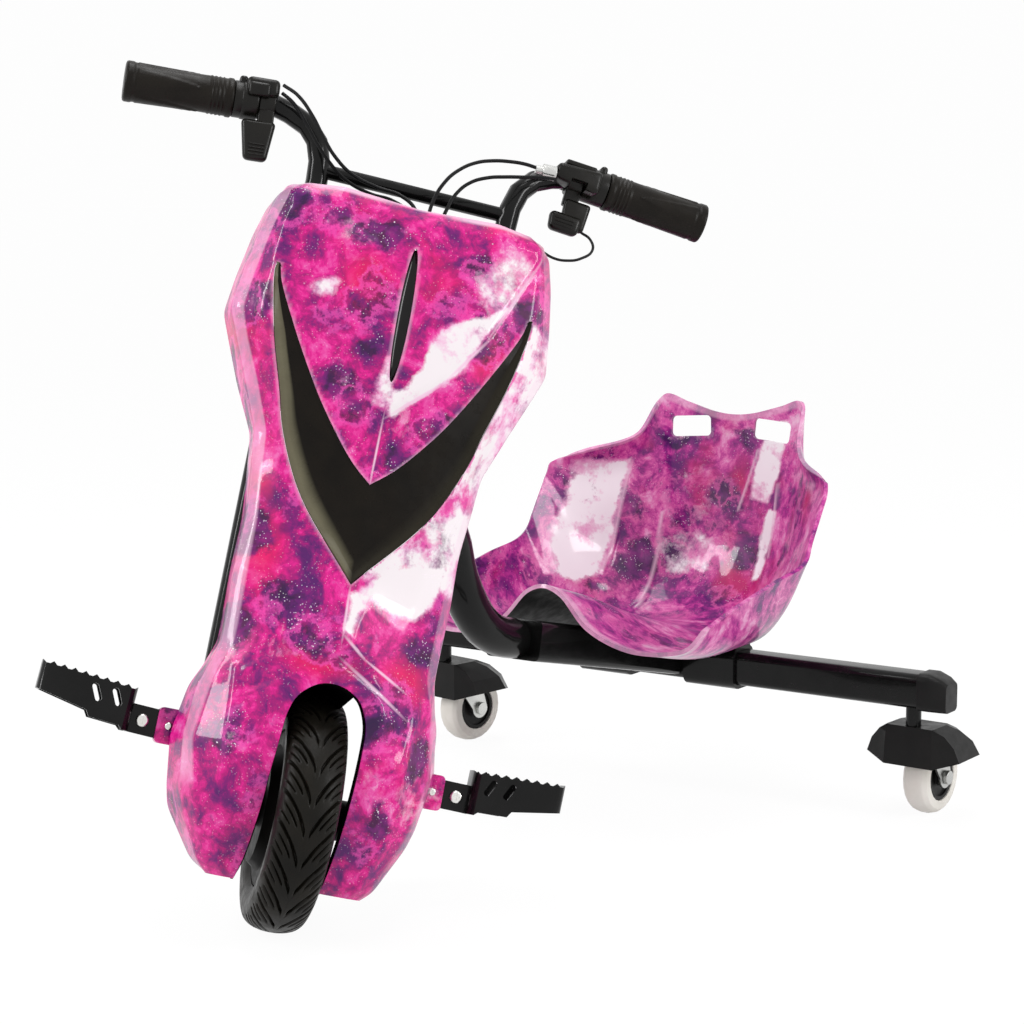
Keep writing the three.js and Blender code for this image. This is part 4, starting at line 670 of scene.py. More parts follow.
fairing_film = film_look(
    "nebula_film", front_turn, front_shift, bright_tones,
    [
        spot(-0.045, 0.165, 0.026, 0.022, 0, 0.07), spot(-0.085, 0.135, 0.024, 0.022),
        spot(0.070, 0.150, 0.018, 0.022, 0, 0.07), spot(-0.115, 0.40, 0.016, 0.024, 0, 0.05),
        spot(-0.04, 0.35, 0.028, 0.02, 30), spot(-0.08, 0.215, 0.02, 0.03),
        spot(-0.075, 0.05, 0.02, 0.03), spot(0.020, 0.300, 0.014, 0.024),
        spot(-0.03, 0.475, 0.04, 0.02), spot(0.06, 0.005, 0.02, 0.02),
        spot(-0.02, 0.385, 0.03, 0.014, -20), spot(0.06, 0.47, 0.02, 0.02),
        spot(0.055, 0.33, 0.014, 0.02, 30, 0.07), spot(0.085, 0.06, 0.016, 0.03),
    ],
    [
        spot(-0.035, 0.435, 0.035, 0.03, 20), spot(-0.07, 0.20, 0.02, 0.05),
        spot(-0.01, 0.125, 0.045, 0.02, 0, 0.07), spot(0.06, 0.12, 0.03, 0.03),
        spot(0.08, 0.40, 0.02, 0.03, 20),
    ],
    [crease_highlight(*ends) for ends in (
        ((0, 0.327), (0.050, 0.373), 0.0021), ((0.043, 0.366), (0.078, 0.416), 0.0021),
        ((0.072, 0.407), (0.111, 0.495), 0.0021), ((0, 0.262), (0, 0.335), 0.0013),
        ((0, 0.138), (0, 0.190), 0.0016), ((0.001, 0.128), (0.069, 0.0885), 0.0021),
        ((-0.002, 0.1480), (0.025, 0.1275), 0.0017), ((0.020, 0.131), (0.064, 0.110), 0.0017),
    )],
)


print_x = print_grid[:, :, 0]
print_z = print_grid[:, :, 2]


def cloud_patch(x, z, outline, soft):
    """Cover by a soft-edged patch, one inside its outline and nought outside."""
    closed = [*outline, outline[0]]
    inside = np.zeros(x.shape, bool)
    for (x0, z0), (x1, z1) in zip(closed, closed[1:]):
        inside ^= ((z0 > z) != (z1 > z)) & (x < (x1 - x0) * (z - z0) / (z1 - z0 + 1e-9) + x0)
    gap = line_gap(x, z, closed)
    return ramped(np.where(inside, gap, -gap) + soft / 2, soft)


# Each pale patch, partly print and partly a painted reflection of the lamps in the gloss, has its
# strength, the width of its soft edge, and its outline from the front
print_and_glare_patches = [
    # beside the slot, down to the crease of the shield
    (0.90, 0.012, [
        (0.006, 0.329), (-0.001, 0.34), (0.001, 0.352), (0.012, 0.357), (0.023, 0.376),
        (0.025, 0.399), (0.031, 0.412), (0.047, 0.423), (0.069, 0.431), (0.081, 0.442),
        (0.089, 0.444), (0.078, 0.421), (0.056, 0.378), (0.031, 0.351),
    ]),
    # the top corner of the shield
    (0.60, 0.024, [
        (0.069, 0.431), (0.053, 0.448), (0.052, 0.468), (0.066, 0.483), (0.082, 0.496),
        (0.103, 0.489), (0.101, 0.469), (0.089, 0.443),
    ]),
    # round the foot of the slot
    (0.66, 0.012, [
        (0.006, 0.329), (-0.013, 0.335), (-0.014, 0.352), (-0.01, 0.37), (-0.009, 0.391),
        (-0.0, 0.366), (0.007, 0.353),
    ]),
    # the small cloud left of the slot
    (0.70, 0.022, [
        (-0.079, 0.43), (-0.066, 0.438), (-0.054, 0.432), (-0.057, 0.421), (-0.07, 0.415),
        (-0.08, 0.42),
    ]),
    # the face beside the point of the V
    (0.95, 0.015, [
        (0.0, 0.181), (0.013, 0.192), (0.032, 0.213), (0.082, 0.224), (0.078, 0.195),
        (0.073, 0.183), (0.06, 0.171), (0.034, 0.172), (0.018, 0.176), (0.012, 0.162),
        (0.008, 0.146), (-0.001, 0.149), (0.001, 0.174),
    ]),
]
pale = np.zeros(print_x.shape)
for share, soft, outline in print_and_glare_patches:
    pale = np.maximum(pale, share * cloud_patch(print_x, print_z, outline, soft))
# The face beside the V is paled as well, partly print and partly a painted reflection
v_edge = np.interp(print_z, v_outer_line[::-1, 1], v_outer_line[::-1, 0])
beside_v = (print_x > v_edge) * ramped(print_z - 0.178, 0.03) * ramped(0.46 - print_z, 0.04)
pale = np.maximum(pale, 0.75 * beside_v)
# Painted highlights lie along the lips of the openings, along the narrow strip round the edge of
# the face, more so on the rider's right, which faces the light, and on the top rim
edge_highlight = ridge(v_gap, 0.0024, 0.40) + ridge(slot_gap, 0.0024, 0.45)
strip = np.zeros(print_x.shape[1])
strip[strip_columns] = 1
strip[-1 - np.array(strip_columns)] = 0.55
edge_highlight = np.maximum(edge_highlight, 0.42 * strip[None, :] * ramped(print_z, 0.02))
top_rim = 0.5075
edge_highlight = np.maximum(edge_highlight, 0.8 * ramped(print_z - top_rim, 0.002))
film_tints = print_shares(pale, np.clip(edge_highlight, 0, 1))
# A plain black for the hidden sides of the shells; under the seat it stands in for shade
black_back_skin = moulded_look(
    "black_back_skin_finish", (0.004, 0.004, 0.004), (0.010, 0.009, 0.009), 0.42, 0.6, 600, 0.00012,
    specular_ior_level=0.1,
)
thicken(fairing_skin, fairing_wall, looks=(fairing_film, black_back_skin))
cut_out(fairing_skin, plug("arch_cutter", arch_line(4), -0.12, 0.03))
v_half = np.concatenate([v_inner_line[::-1], v_outer_line])
cut_out(fairing_skin, plug("v_cutter", both_sides(v_half), -0.12, -0.02))
cut_out(fairing_skin, plug("slot_cutter", both_sides(slot_line(0)), -0.12, -0.02))
tint(fairing_skin, print_grid.reshape(-1, 3), film_tints)
settle(fairing_skin, front_end)
smooth(fairing_skin, 40)
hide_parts("fairing")
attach(fairing_skin, "front_end")

# The wheel arch is lined with a black moulded tunnel, turned in behind the face of the fairing. Its
# crown runs back over the tyre as a mudguard.
plastic_black = moulded_look(
    "moulded_black", (0.005, 0.005, 0.005), (0.011, 0.010, 0.010), 0.30, 0.46, 1300, 0.00006,
    specular_ior_level=0.16,
)
hub_clearance = 0.0645
lining_wall = 0.0014
crown_foot = 0.078
crown_reach = 0.016
crown_side = 0.010
lining_rows = []
for x, z in arch_line(3):
    z = max(z, fairing_bottom)
    crown = float(ramped(z - crown_foot, crown_reach) * (1 - ramped(x - crown_side, crown_side)))
    front = -max(face_depth(x * 1.06, z) - 0.0030, 0.03)
    round_hub = -sqrt(max(hub_clearance ** 2 - z ** 2, 0)) if x < 0 else front + 0.004
    back = min(max(round_hub, front + 0.004), -0.012) * (1 - crown)
    wrapped = [(x * 0.97, back + z * sin(turn) * crown, z * (1 - crown + crown * cos(turn)))
               for turn in np.linspace(radians(60), 0, 12, endpoint=False)]
    lining_rows.append(wrapped + [(x * (0.97 + 0.03 * share), back + (front - back) * share, z)
                                  for share in np.linspace(0, 1, 6)])
arch_lining = grid_piece("arch_lining", np.array(lining_rows))
merged(arch_lining)
thicken(arch_lining, lining_wall, 0)
settle(arch_lining, front_end)
# The lining is painted darker and duller than the other black mouldings, as painted shade inside
# the arch
arch_shade_lining_look = moulded_look(
    "lining_black_painted_shade", (0.002, 0.002, 0.002), (0.004, 0.004, 0.004), 0.55, 0.7, 1300, 0.00006,
    specular_ior_level=0.02,
)
arch_lining.data.materials.append(arch_shade_lining_look)
smooth(arch_lining, 40)
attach(arch_lining, "front_end")

# The V insert is a satin black ABS strip set in the opening of the fairing from behind. Its outer
# edge is bevelled, so it catches the light along both arms.
insert_gap = 0.0004
insert_wall = 0.0022
bevel_width = 0.009
lip_depth = 0.0012
sunk_depth = 0.0036
v_rows = []
for outer, inner in zip(v_outer_line, v_inner_line):
    width = float(np.linalg.norm(outer - inner))
    across = (inner - outer) / max(width, 1e-9)
    start = outer + across * min(insert_gap, width * 0.2)
    crease = outer + across * min(bevel_width, width * 0.5)
    sunk = min(sunk_depth, width * 0.5)
    tucked = inner + across * min(0.002, width * 0.5)
    places = [
        (start, lip_depth), (start * 0.5 + crease * 0.5, lip_depth + (sunk - lip_depth) * 0.5),
        (crease, sunk - 0.0002), (crease * 0.85 + inner * 0.15, sunk), (tucked, sunk),
    ]
    v_rows.append([(x, depth - face_depth(x, z), z) for (x, z), depth in places])
v_rows = np.array(v_rows)
v_rows[-1, :, 0] = 0
v_left = v_rows[:-1] * (-1, 1, 1)
v_grid = np.concatenate([v_left, v_rows[::-1]])
v_insert = grid_piece("v_insert", v_grid)
# A painted sheen lightens the bevel along the arm at the rider's right, which faces the light more,
# and a little along the other arm
sheen_share = np.zeros(v_grid.shape[:2])
sheen_share[:len(v_left), :3] = (0.9, 1, 0.75)
sheen_share[len(v_left):, :3] = (0.10, 0.10, 0.05)
sheen_layer = v_insert.data.attributes.new("painted_bevel_sheen", "FLOAT", "POINT")
sheen_layer.data.foreach_set("value", sheen_share.reshape(-1))
thicken(v_insert, insert_wall, even=False)
settle(v_insert, front_end)
insert_look = moulded_look(
    "satin_insert", (0.004, 0.0028, 0.0018), (0.009, 0.0065, 0.0040), 0.24, 0.34, 900, 0.00004,
    specular_ior_level=0.12,
)
insert_tree = insert_look.node_tree
insert_base = insert_tree.nodes["Principled BSDF"].inputs["Base Color"]
painted_bevel_sheen = add_node(insert_tree, "ShaderNodeAttribute", attribute_name="painted_bevel_sheen").outputs["Fac"]
sheen_breakup = noise(insert_tree, object_place(insert_tree), 60, 5)
sheen_breakup = span(insert_tree, sheen_breakup, 0.3, 0.7, 0.8, 1.0)
painted_bevel_sheen = math_node(insert_tree, "MULTIPLY", painted_bevel_sheen, sheen_breakup)
# the painted sheen: a pale olive mixed into the bevel's colour, broken up a little by noise
shine = mix(insert_tree, painted_bevel_sheen, insert_base.links[0].from_socket, (0.155, 0.142, 0.092))
insert_tree.links.new(shine, insert_base)
v_insert.data.materials.append(insert_look)
smooth(v_insert, 14)
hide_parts("fairing_v_insert")
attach(v_insert, "front_end")

# The slot in the shield holds a lens of gloss black acrylic. It is dished like a blade and set in
# from behind, with its edge a little under the lip of the slot.
lens_sunk = 0.0022
lens_dish = 0.0014
lens_rows = []
for x, z in slot_line(-insert_gap)[1:-1]:
    depth = face_depth(slot_half_width + 0.002, z) - lens_sunk
    lens_rows.append([(share * x, -depth + lens_dish * (1 - share * share), z)
                      for share in np.linspace(-1, 1, 9)])
lens_insert = grid_piece("slot_lens", np.array(lens_rows[::-1]))
thicken(lens_insert, 0.004)
settle(lens_insert, front_end)
gloss_black = moulded_look(
    "gloss_black", (0.002, 0.002, 0.002), (0.005, 0.005, 0.005), 0.10, 0.18, 260, 0.00003,
    specular_ior_level=0.15, coat_weight=0.2, coat_roughness=0.05,
)
lens_insert.data.materials.append(gloss_black)
smooth(lens_insert, 50)
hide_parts("fairing_slot_insert")
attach(lens_insert, "front_end")

# The steel parts are welded tube and pressed plate, powder coated gloss black. Their CAD shapes
# stay, with their edges eased and an orange-peel coat.
powder_coat = moulded_look(
    "powder_coat", (0.003, 0.003, 0.003), (0.007, 0.007, 0.007), 0.14, 0.24, 420, 0.00004,
    specular_ior_level=0.12, coat_weight=0.15, coat_roughness=0.06,
)


def dress(node_name, look, ease=0.0006, limit=33, steps=2):
    """Give a CAD shape its look, its edges eased where they turn by more than the limit."""
    node = nodes[node_name]
    node.data.materials.clear()
    node.data.materials.append(look)
    node.data.polygons.foreach_set("use_smooth", [True] * len(node.data.polygons))
    weld = node.modifiers.new("merge", "WELD")
    weld.merge_threshold = 0.00002
    edge = node.modifiers.new("eased_edges", "BEVEL")
    edge.width = ease
    edge.segments = steps
    edge.limit_method = "ANGLE"
    edge.angle_limit = radians(limit)
    normals = node.modifiers.new("flat_faces", "WEIGHTED_NORMAL")
    normals.keep_sharp = False


for node_name in ("fork", "handlebar", "frame"):
    dress(node_name, powder_coat)
for node_name in ("foot_peg_L", "foot_peg_R", "seat_bracket_L", "seat_bracket_R",
                  "caster_kingpin_L", "caster_kingpin_R"):
    dress(node_name, powder_coat, 0.0004)
for node_name in ("peg_bracket_L", "peg_bracket_R"):
    dress(node_name, fairing_film, 0.0008)
for node_name in ("battery_case", "axle_cap_L", "axle_cap_R"):
    dress(node_name, plastic_black, 0.0016)

zinc_look = moulded_look(
    "zinc_plate", (0.50, 0.50, 0.49), (0.68, 0.68, 0.66), 0.22, 0.40, 700, 0.00003, metallic=1.0,
)
alloy_look = moulded_look(
    "painted_alloy", (0.004, 0.004, 0.004), (0.009, 0.008, 0.007), 0.38, 0.52, 500, 0.00006,
    specular_ior_level=0.05,
)
for node_name in ("front_axle", "headset_cup_lower", "headset_cup_upper"):
    dress(node_name, zinc_look, 0.0003)
dress("front_hub_motor", alloy_look, 0.0006)
dress("cable_adjuster", zinc_look, 0.0004)

# Screws: pan-head cross-recess screws hold each peg bracket, and a larger one each peg to its
# bracket. They are zinc plated.
screw_look = moulded_look(
    "screw_zinc", (0.62, 0.61, 0.59), (0.82, 0.81, 0.78), 0.16, 0.30, 900, 0.00002, metallic=1.0,
)


def screw(name, place, radius):
    """A pan-head screw facing forwards, with a cross recess."""
    bpy.ops.object.select_all(action="DESELECT")
    bpy.ops.mesh.primitive_cylinder_add(vertices=28, radius=radius, depth=radius * 0.9)
    made = bpy.context.object
    made.name = name
    bpy.ops.object.mode_set(mode="EDIT")
    bpy.ops.mesh.select_all(action="DESELECT")
    bpy.ops.mesh.select_mode(type="FACE")
    bpy.ops.object.mode_set(mode="OBJECT")
    for face in made.data.polygons:
        face.select = face.normal.z > 0.9
    bpy.ops.object.mode_set(mode="EDIT")
    bpy.ops.mesh.bevel(offset=radius * 0.42, segments=4, affect="EDGES")
    bpy.ops.mesh.inset(thickness=radius * 0.10)
    bpy.ops.object.mode_set(mode="OBJECT")
    cross = plug("cross_cutter", [(x * radius * 0.5, z * radius * 0.5) for x, z in (
        (-0.2, 1), (0.2, 1), (0.2, 0.2), (1, 0.2), (1, -0.2), (0.2, -0.2),
        (0.2, -1), (-0.2, -1), (-0.2, -0.2), (-1, -0.2), (-1, 0.2), (-0.2, 0.2),
    )], -0.02, -radius * 0.18)
    settle(made, Matrix.Rotation(radians(90), 4, "X"))
    cut_out(made, cross)
    settle(made, Matrix.Translation(place))
    settle(made, front_end)
    made.data.materials.append(screw_look)
    smooth(made, 40)
    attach(made, "front_end")


for side_name, sign, rise, tilt in (("L", 1, -0.006, -1.3), ("R", -1, 0.006, 3)):
    level = 0.044 + rise
    screw("bracket_screw_" + side_name, (sign * 0.1142, 0.0078, level), 0.0033)
    lift = 0.015 * sin(radians(tilt))
    screw("peg_screw_" + side_name, (sign * 0.136, 0.0118, level + lift), 0.0056)

# The thumb controls are moulded nylon bodies clamped on the bar beside the grips. A lever turns
# round the bar in each and hangs below it: a straight ribbed tongue for the throttle, and a hooked
# pad for the brake, under a slimmer perch.
control_look = moulded_look(
    "control_nylon", (0.004, 0.0036, 0.003), (0.010, 0.009, 0.007), 0.24, 0.38, 1200, 0.00005,
    specular_ior_level=0.22,
)
bar_drop = radians(4.91)
grip_start = (0.168, 0.0144, 0.5835)


def on_side(sign, place):
    """A place on the rider's left, or its mirror image on the right."""
    return Vector((sign * place[0], place[1], place[2]))


def on_bar(sign):
    """The frame of one end of the bar: x outwards from the inner end of its grip."""
    return (front_end @ Matrix.Translation(on_side(sign, grip_start))
            @ Matrix.Rotation(sign * bar_drop, 4, "Y"))


def rounded(obj, ease, steps, limit=None):
    """Round the edges of a piece; with a limit, only those that turn by more than it."""
    edge = obj.modifiers.new("rounded", "BEVEL")
    edge.width = ease
    edge.segments = steps
    edge.limit_method = "ANGLE" if limit else "NONE"
    if limit:
        edge.angle_limit = radians(limit)
    alone(obj)
    bpy.ops.object.modifier_apply(modifier=edge.name)


def lump(sign, along, back, up, ease, foot=1.0, nose=1.0):
    """A moulded lump between two corners; its foot and its inner end can be drawn in."""
    low = Vector((min(sign * along[0], sign * along[1]), back[0], up[0]))
    high = Vector((max(sign * along[0], sign * along[1]), back[1], up[1]))
    middle = (low + high) / 2
    bpy.ops.object.select_all(action="DESELECT")
    bpy.ops.mesh.primitive_cube_add(size=1, location=middle)
    made = bpy.context.object
    made.scale = high - low
    settle(made)
    for corner in made.data.vertices:
        if corner.co.z < middle.z:
            corner.co.x = middle.x + (corner.co.x - middle.x) * foot
        if corner.co.x * sign < middle.x * sign:
            corner.co.z = middle.z + (corner.co.z - middle.z) * nose
    rounded(made, ease, 4)
    return made


def barrel(sign, along, radius, ease=0.0):
    """A cylinder along the bar."""
    bpy.ops.object.select_all(action="DESELECT")
    bpy.ops.mesh.primitive_cylinder_add(
        vertices=56, radius=radius, depth=along[1] - along[0],
        location=(sign * (along[0] + along[1]) / 2, 0, 0), rotation=(0, pi / 2, 0),
    )
    made = bpy.context.object
    settle(made)
    if ease:
        rounded(made, ease, 3, 40)
    return made


def control(name, sign, lumps, bore, replaced, body, notches=()):
    """Join the lumps of one moulding, bore it for the bar and hang it on the bar."""
    bpy.ops.object.select_all(action="DESELECT")
    for piece in lumps:
        piece.select_set(True)
    made = lumps[0]
    bpy.context.view_layer.objects.active = made
    bpy.ops.object.join()
    made.name = name
    for cutter in [barrel(sign, *size) for size in bore] + [lump(sign, *size) for size in notches]:
        opened = made.modifiers.new("bore", "BOOLEAN")
        opened.solver = "EXACT"
        opened.use_self = True
        opened.object = cutter
        alone(made)
        bpy.ops.object.modifier_apply(modifier=opened.name)
        bpy.data.objects.remove(cutter)
    settle(made, on_bar(sign))
    made.data.materials.clear()
    made.data.materials.append(control_look)
    smooth(made, 38)
    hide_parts(replaced)
    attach(made, body)


ring_along = (-0.0360, -0.0222)
ring_room = (-0.0366, -0.0216)
bar_room = (-0.06, 0.01)
bar_bore = 0.0112
ring_bore = 0.0151
control("throttle_body", -1, [
    barrel(-1, (-0.0218, -0.0070), 0.0165, 0.0018), barrel(-1, (-0.0080, -0.0004), 0.0158, 0.0010),
    lump(-1, (-0.038, -0.0095), (-0.0185, 0.012), (0.002, 0.0178), 0.0045),
    lump(-1, (-0.030, -0.0110), (-0.0215, -0.008), (0.0005, 0.0125), 0.0030),
    lump(-1, (-0.011, -0.0040), (-0.0085, 0.0085), (-0.008, 0.0195), 0.0025),
], [(ring_room, ring_bore), (bar_room, bar_bore)], "throttle_housing", "front_end")
control("throttle_lever", -1, [
    barrel(-1, ring_along, 0.0145, 0.0012),
    lump(-1, ring_along, (-0.012, -0.003), (-0.024, -0.008), 0.0015),
    lump(-1, (-0.0385, -0.0085), (-0.0135, -0.0035), (-0.0535, -0.0182), 0.0040, 0.66),
    *[lump(-1, (-0.0305, -0.0165), (-0.0146, -0.0125), (up, up + 0.0012), 0.0005)
      for up in (-0.0495, -0.0465, -0.0435, -0.0405)],
], [(bar_room, bar_bore)], "throttle_paddle", "throttle")
control("brake_perch", 1, [
    lump(1, (-0.051, -0.0095), (-0.0245, 0.010), (-0.012, 0.0085), 0.0045, nose=0.74),
    lump(1, (-0.044, -0.016), (-0.0205, -0.002), (0.0065, 0.0115), 0.0016, nose=0.9),
    lump(1, (-0.0105, -0.0040), (-0.0090, 0.0085), (-0.009, 0.0192), 0.0030),
    barrel(1, (-0.0220, -0.0004), 0.0155, 0.0012),
], [(ring_room, ring_bore), (bar_room, bar_bore)], "brake_housing", "front_end",
    [(ring_room, (-0.0300, -0.0020), (-0.0200, -0.0052), 0.0004)])
control("brake_lever", 1, [
    barrel(1, ring_along, 0.0145, 0.0012),
    lump(1, ring_along, (-0.0085, -0.001), (-0.026, -0.008), 0.0015),
    lump(1, (-0.0350, -0.0105), (-0.0130, -0.0035), (-0.0465, -0.0202), 0.0035, 0.88),
    lump(1, (-0.0450, -0.0150), (-0.0155, -0.0035), (-0.0515, -0.0345), 0.0045, 0.88),
    *[lump(1, (-0.0400, -0.0230), (-0.0163, -0.0143), (up, up + 0.0011), 0.0005)
      for up in (-0.0470, -0.0440, -0.0410)],
], [(bar_room, bar_bore)], "brake_paddle", "brake")

# The front tyre is an 8 inch pneumatic street tyre: a centre rib with long slanted grooves that
# sweep from it to the shoulders, and stepped sidewalls over the rim.
tyre_radius = 0.1
bead_radius = 0.066
tyre_half_width = 0.025
tyre_profile = [
    (0, -0.8), (0.10, -0.91), (0.18, -0.96), (0.36, -1), (0.53, -1), (0.68, -0.955), (0.79, -0.88),
    (0.88, -0.74), (0.94, -0.56), (0.985, -0.3), (1, 0), (0.985, 0.3), (0.94, 0.56), (0.88, 0.74),
    (0.79, 0.88), (0.68, 0.955), (0.53, 1), (0.36, 1), (0.18, 0.96), (0.10, 0.91), (0, 0.8),
]
around_steps = 528
pitch_count = 24
groove_sweep = 0.046
# The profile is a share of the tyre's height and of its half width, walked from bead to bead
section = smooth_line(tyre_profile, 24)
full_section = section * (tyre_radius - bead_radius, tyre_half_width)
run = np.concatenate([[0], np.cumsum(np.linalg.norm(np.diff(full_section, axis=0), axis=1))])
stops = np.linspace(0, run[-1], 113)
section = np.stack([np.interp(stops, run, section[:, k]) for k in (0, 1)], axis=1)
section_rise = bead_radius + section[:, 0] * (tyre_radius - bead_radius)
section_side = section[:, 1] * tyre_half_width
outward = np.clip(np.abs(section_side) / tyre_half_width, 0, 1)
slant = groove_sweep * outward ** 0.62
turns = np.linspace(0, 2 * pi, around_steps, endpoint=False)
pitch = 2 * pi * tyre_radius / pitch_count
side = np.abs(section_side)[None, :]
on_tread = ramped(section[:, 0][None, :] - 0.66, 0.06)
sideways = np.maximum(np.abs(np.gradient(section_side)), 1e-5)
steep = 1 / np.sqrt(1 + (np.gradient(slant) / sideways) ** 2)
around = turns[:, None] + slant[None, :] / tyre_radius


def groove(phase, reach_in, reach_out, half_width, depth):
    """Grooves on both shoulders, swept back from the centre line as the grid is."""
    along = np.broadcast_to(turns[:, None] * tyre_radius, around.shape) + phase * pitch
    gap = np.abs((along / pitch + 0.5) % 1 - 0.5) * pitch * np.maximum(steep, 0.3)[None, :]
    cut_in = ramped(half_width - gap, half_width * 0.8)
    return cut_in * ramped(side - reach_in, 0.0015) * ramped(reach_out - side, 0.0015) * depth


tread = groove(0, 0.0016, 0.0243, 0.0016, 0.0034)
tread = np.maximum(tread, groove(0.36, 0.0085, 0.0225, 0.0010, 0.0024))
tread = np.maximum(tread, groove(0.68, 0.0140, 0.0246, 0.0009, 0.0018)) * on_tread
step_rise = 0.0005
wall_step = sum(
    ramped(0.0006 - np.abs(section_rise - step_radius), 0.0004) * step_rise
    for step_radius in (0.083, 0.0745)
)
slope_rise = np.gradient(section_rise)
slope_side = np.gradient(section_side)
size = np.hypot(slope_rise, slope_side)
rim_x = slope_rise / size * -1
rim_r = slope_side / size
lift = wall_step[None, :] - tread
ring_r = section_rise[None, :] + rim_r[None, :] * lift
ring_x = section_side[None, :] + rim_x[None, :] * lift
tyre_grid = np.stack([np.broadcast_to(ring_x, around.shape), -np.cos(around) * ring_r,
                      np.sin(around) * ring_r], axis=2)
tyre_grid = np.concatenate([tyre_grid, tyre_grid[:1]])
# Between the beads the tyre is closed by its inner face, on the rim
inner_radius = 0.0661
closing_turns = np.concatenate([turns, turns[:1]]) + slant[0] / tyre_radius
inner = np.array([
    [(x, -cos(turn) * inner_radius, sin(turn) * inner_radius) for x in (0.0135, 0, -0.0135)]
    for turn in closing_turns
])
tyre_grid = np.concatenate([tyre_grid, inner, tyre_grid[:, :1]], axis=1)
front_tyre = grid_piece("front_tyre_tread", tyre_grid)
merged(front_tyre)
settle(front_tyre, front_end)
tyre_look = moulded_look(
    "tyre_rubber", (0.005, 0.0045, 0.0035), (0.012, 0.010, 0.007), 0.30, 0.50, 900, 0.00008,
    specular_ior_level=0.14,
)
front_tyre.data.materials.append(tyre_look)
smooth(front_tyre, 50)
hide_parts("front_tyre")
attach(front_tyre, "front_wheel")

# The grips are moulded rubber with a ringed collar, four long raised arrows and a flared end. They
# are pushed over the ends of the bar and hold by friction.
grip_turns = 72
grip_end = (0.260, 0.0144, 0.5756)
arrow_start = 0.028
arrow_length = 0.056
arrow_rise = 0.0009
collar_rings = (0.009, 0.0125, 0.016, 0.0195)
ring_rise = 0.0007
grip_look = moulded_look(
    "grip_rubber", (0.006, 0.0048, 0.0036), (0.013, 0.0105, 0.008), 0.30, 0.44, 1100, 0.00006,
    specular_ior_level=0.13,
)
grip_profile = [
    (0, 0.0102), (0, 0.0158), (0.0012, 0.0168), (0.0045, 0.0168), (0.0056, 0.0160),
    (0.020, 0.0160), (0.050, 0.0156), (0.080, 0.0162), (0.0845, 0.0168), (0.0858, 0.0174),
    (0.0905, 0.0174), (0.0918, 0.0166), (0.09234, 0.0150), (0.09234, 0.0001),
]
for name, sign in (("L", 1), ("R", -1)):
    start = on_side(sign, grip_start)
    end = on_side(sign, grip_end)
    stations = []
    for (a0, r0), (a1, r1) in zip(grip_profile, grip_profile[1:]):
        count = max(1, round(abs(a1 - a0) / 0.0009))
        stations += [(a0 + (a1 - a0) * k / count, r0 + (r1 - r0) * k / count)
                     for k in range(count)]
    stations.append(grip_profile[-1])
    along = np.array([a for a, _ in stations])[:, None]
    radius = np.array([r for _, r in stations])[:, None]
    angle = np.linspace(0, 2 * pi, grip_turns + 1)[None, :]
    quarter = (angle / (pi / 2) + 0.5) % 1 - 0.5
    share = np.clip((along - arrow_start) / arrow_length, 0, 1)
    arrow = ramped(0.40 * share ** 0.65 - np.abs(quarter), 0.05) * ramped(0.083 - along, 0.002)
    arrow = np.where(share > 0, arrow, 0) * arrow_rise
    rings = sum(ramped(0.0009 - np.abs(along - at), 0.0007) for at in collar_rings) * ring_rise
    body = radius + np.where((along > 0.006) & (along < 0.0845), arrow + rings, 0)
    axis = (end - start).normalized()
    side_one = axis.cross(Vector((0, 1, 0))).normalized()
    side_two = axis.cross(side_one).normalized()
    spread = (np.cos(angle)[..., None] * np.array(side_one)
              + np.sin(angle)[..., None] * np.array(side_two))
    grid = np.array(start) + along[..., None] * np.array(axis) + body[..., None] * spread
    grip = grid_piece("grip_body_" + name, grid)
    merged(grip)
    settle(grip, front_end)
    grip.data.materials.append(grip_look)
    smooth(grip, 40)
    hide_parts("grip_" + name)
    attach(grip, "front_end")

# The seat is a vacuum-formed bucket in the same film, more muted, with folded bolsters, pressed
# creases down its back, a hump between the rider's legs and two hand slots under its top edge.
seat_half_width = 0.166
seat_front = 0.072
seat_length = 0.364
seat_bottom = 0.16
seat_height = 0.228
seat_wall = 0.004
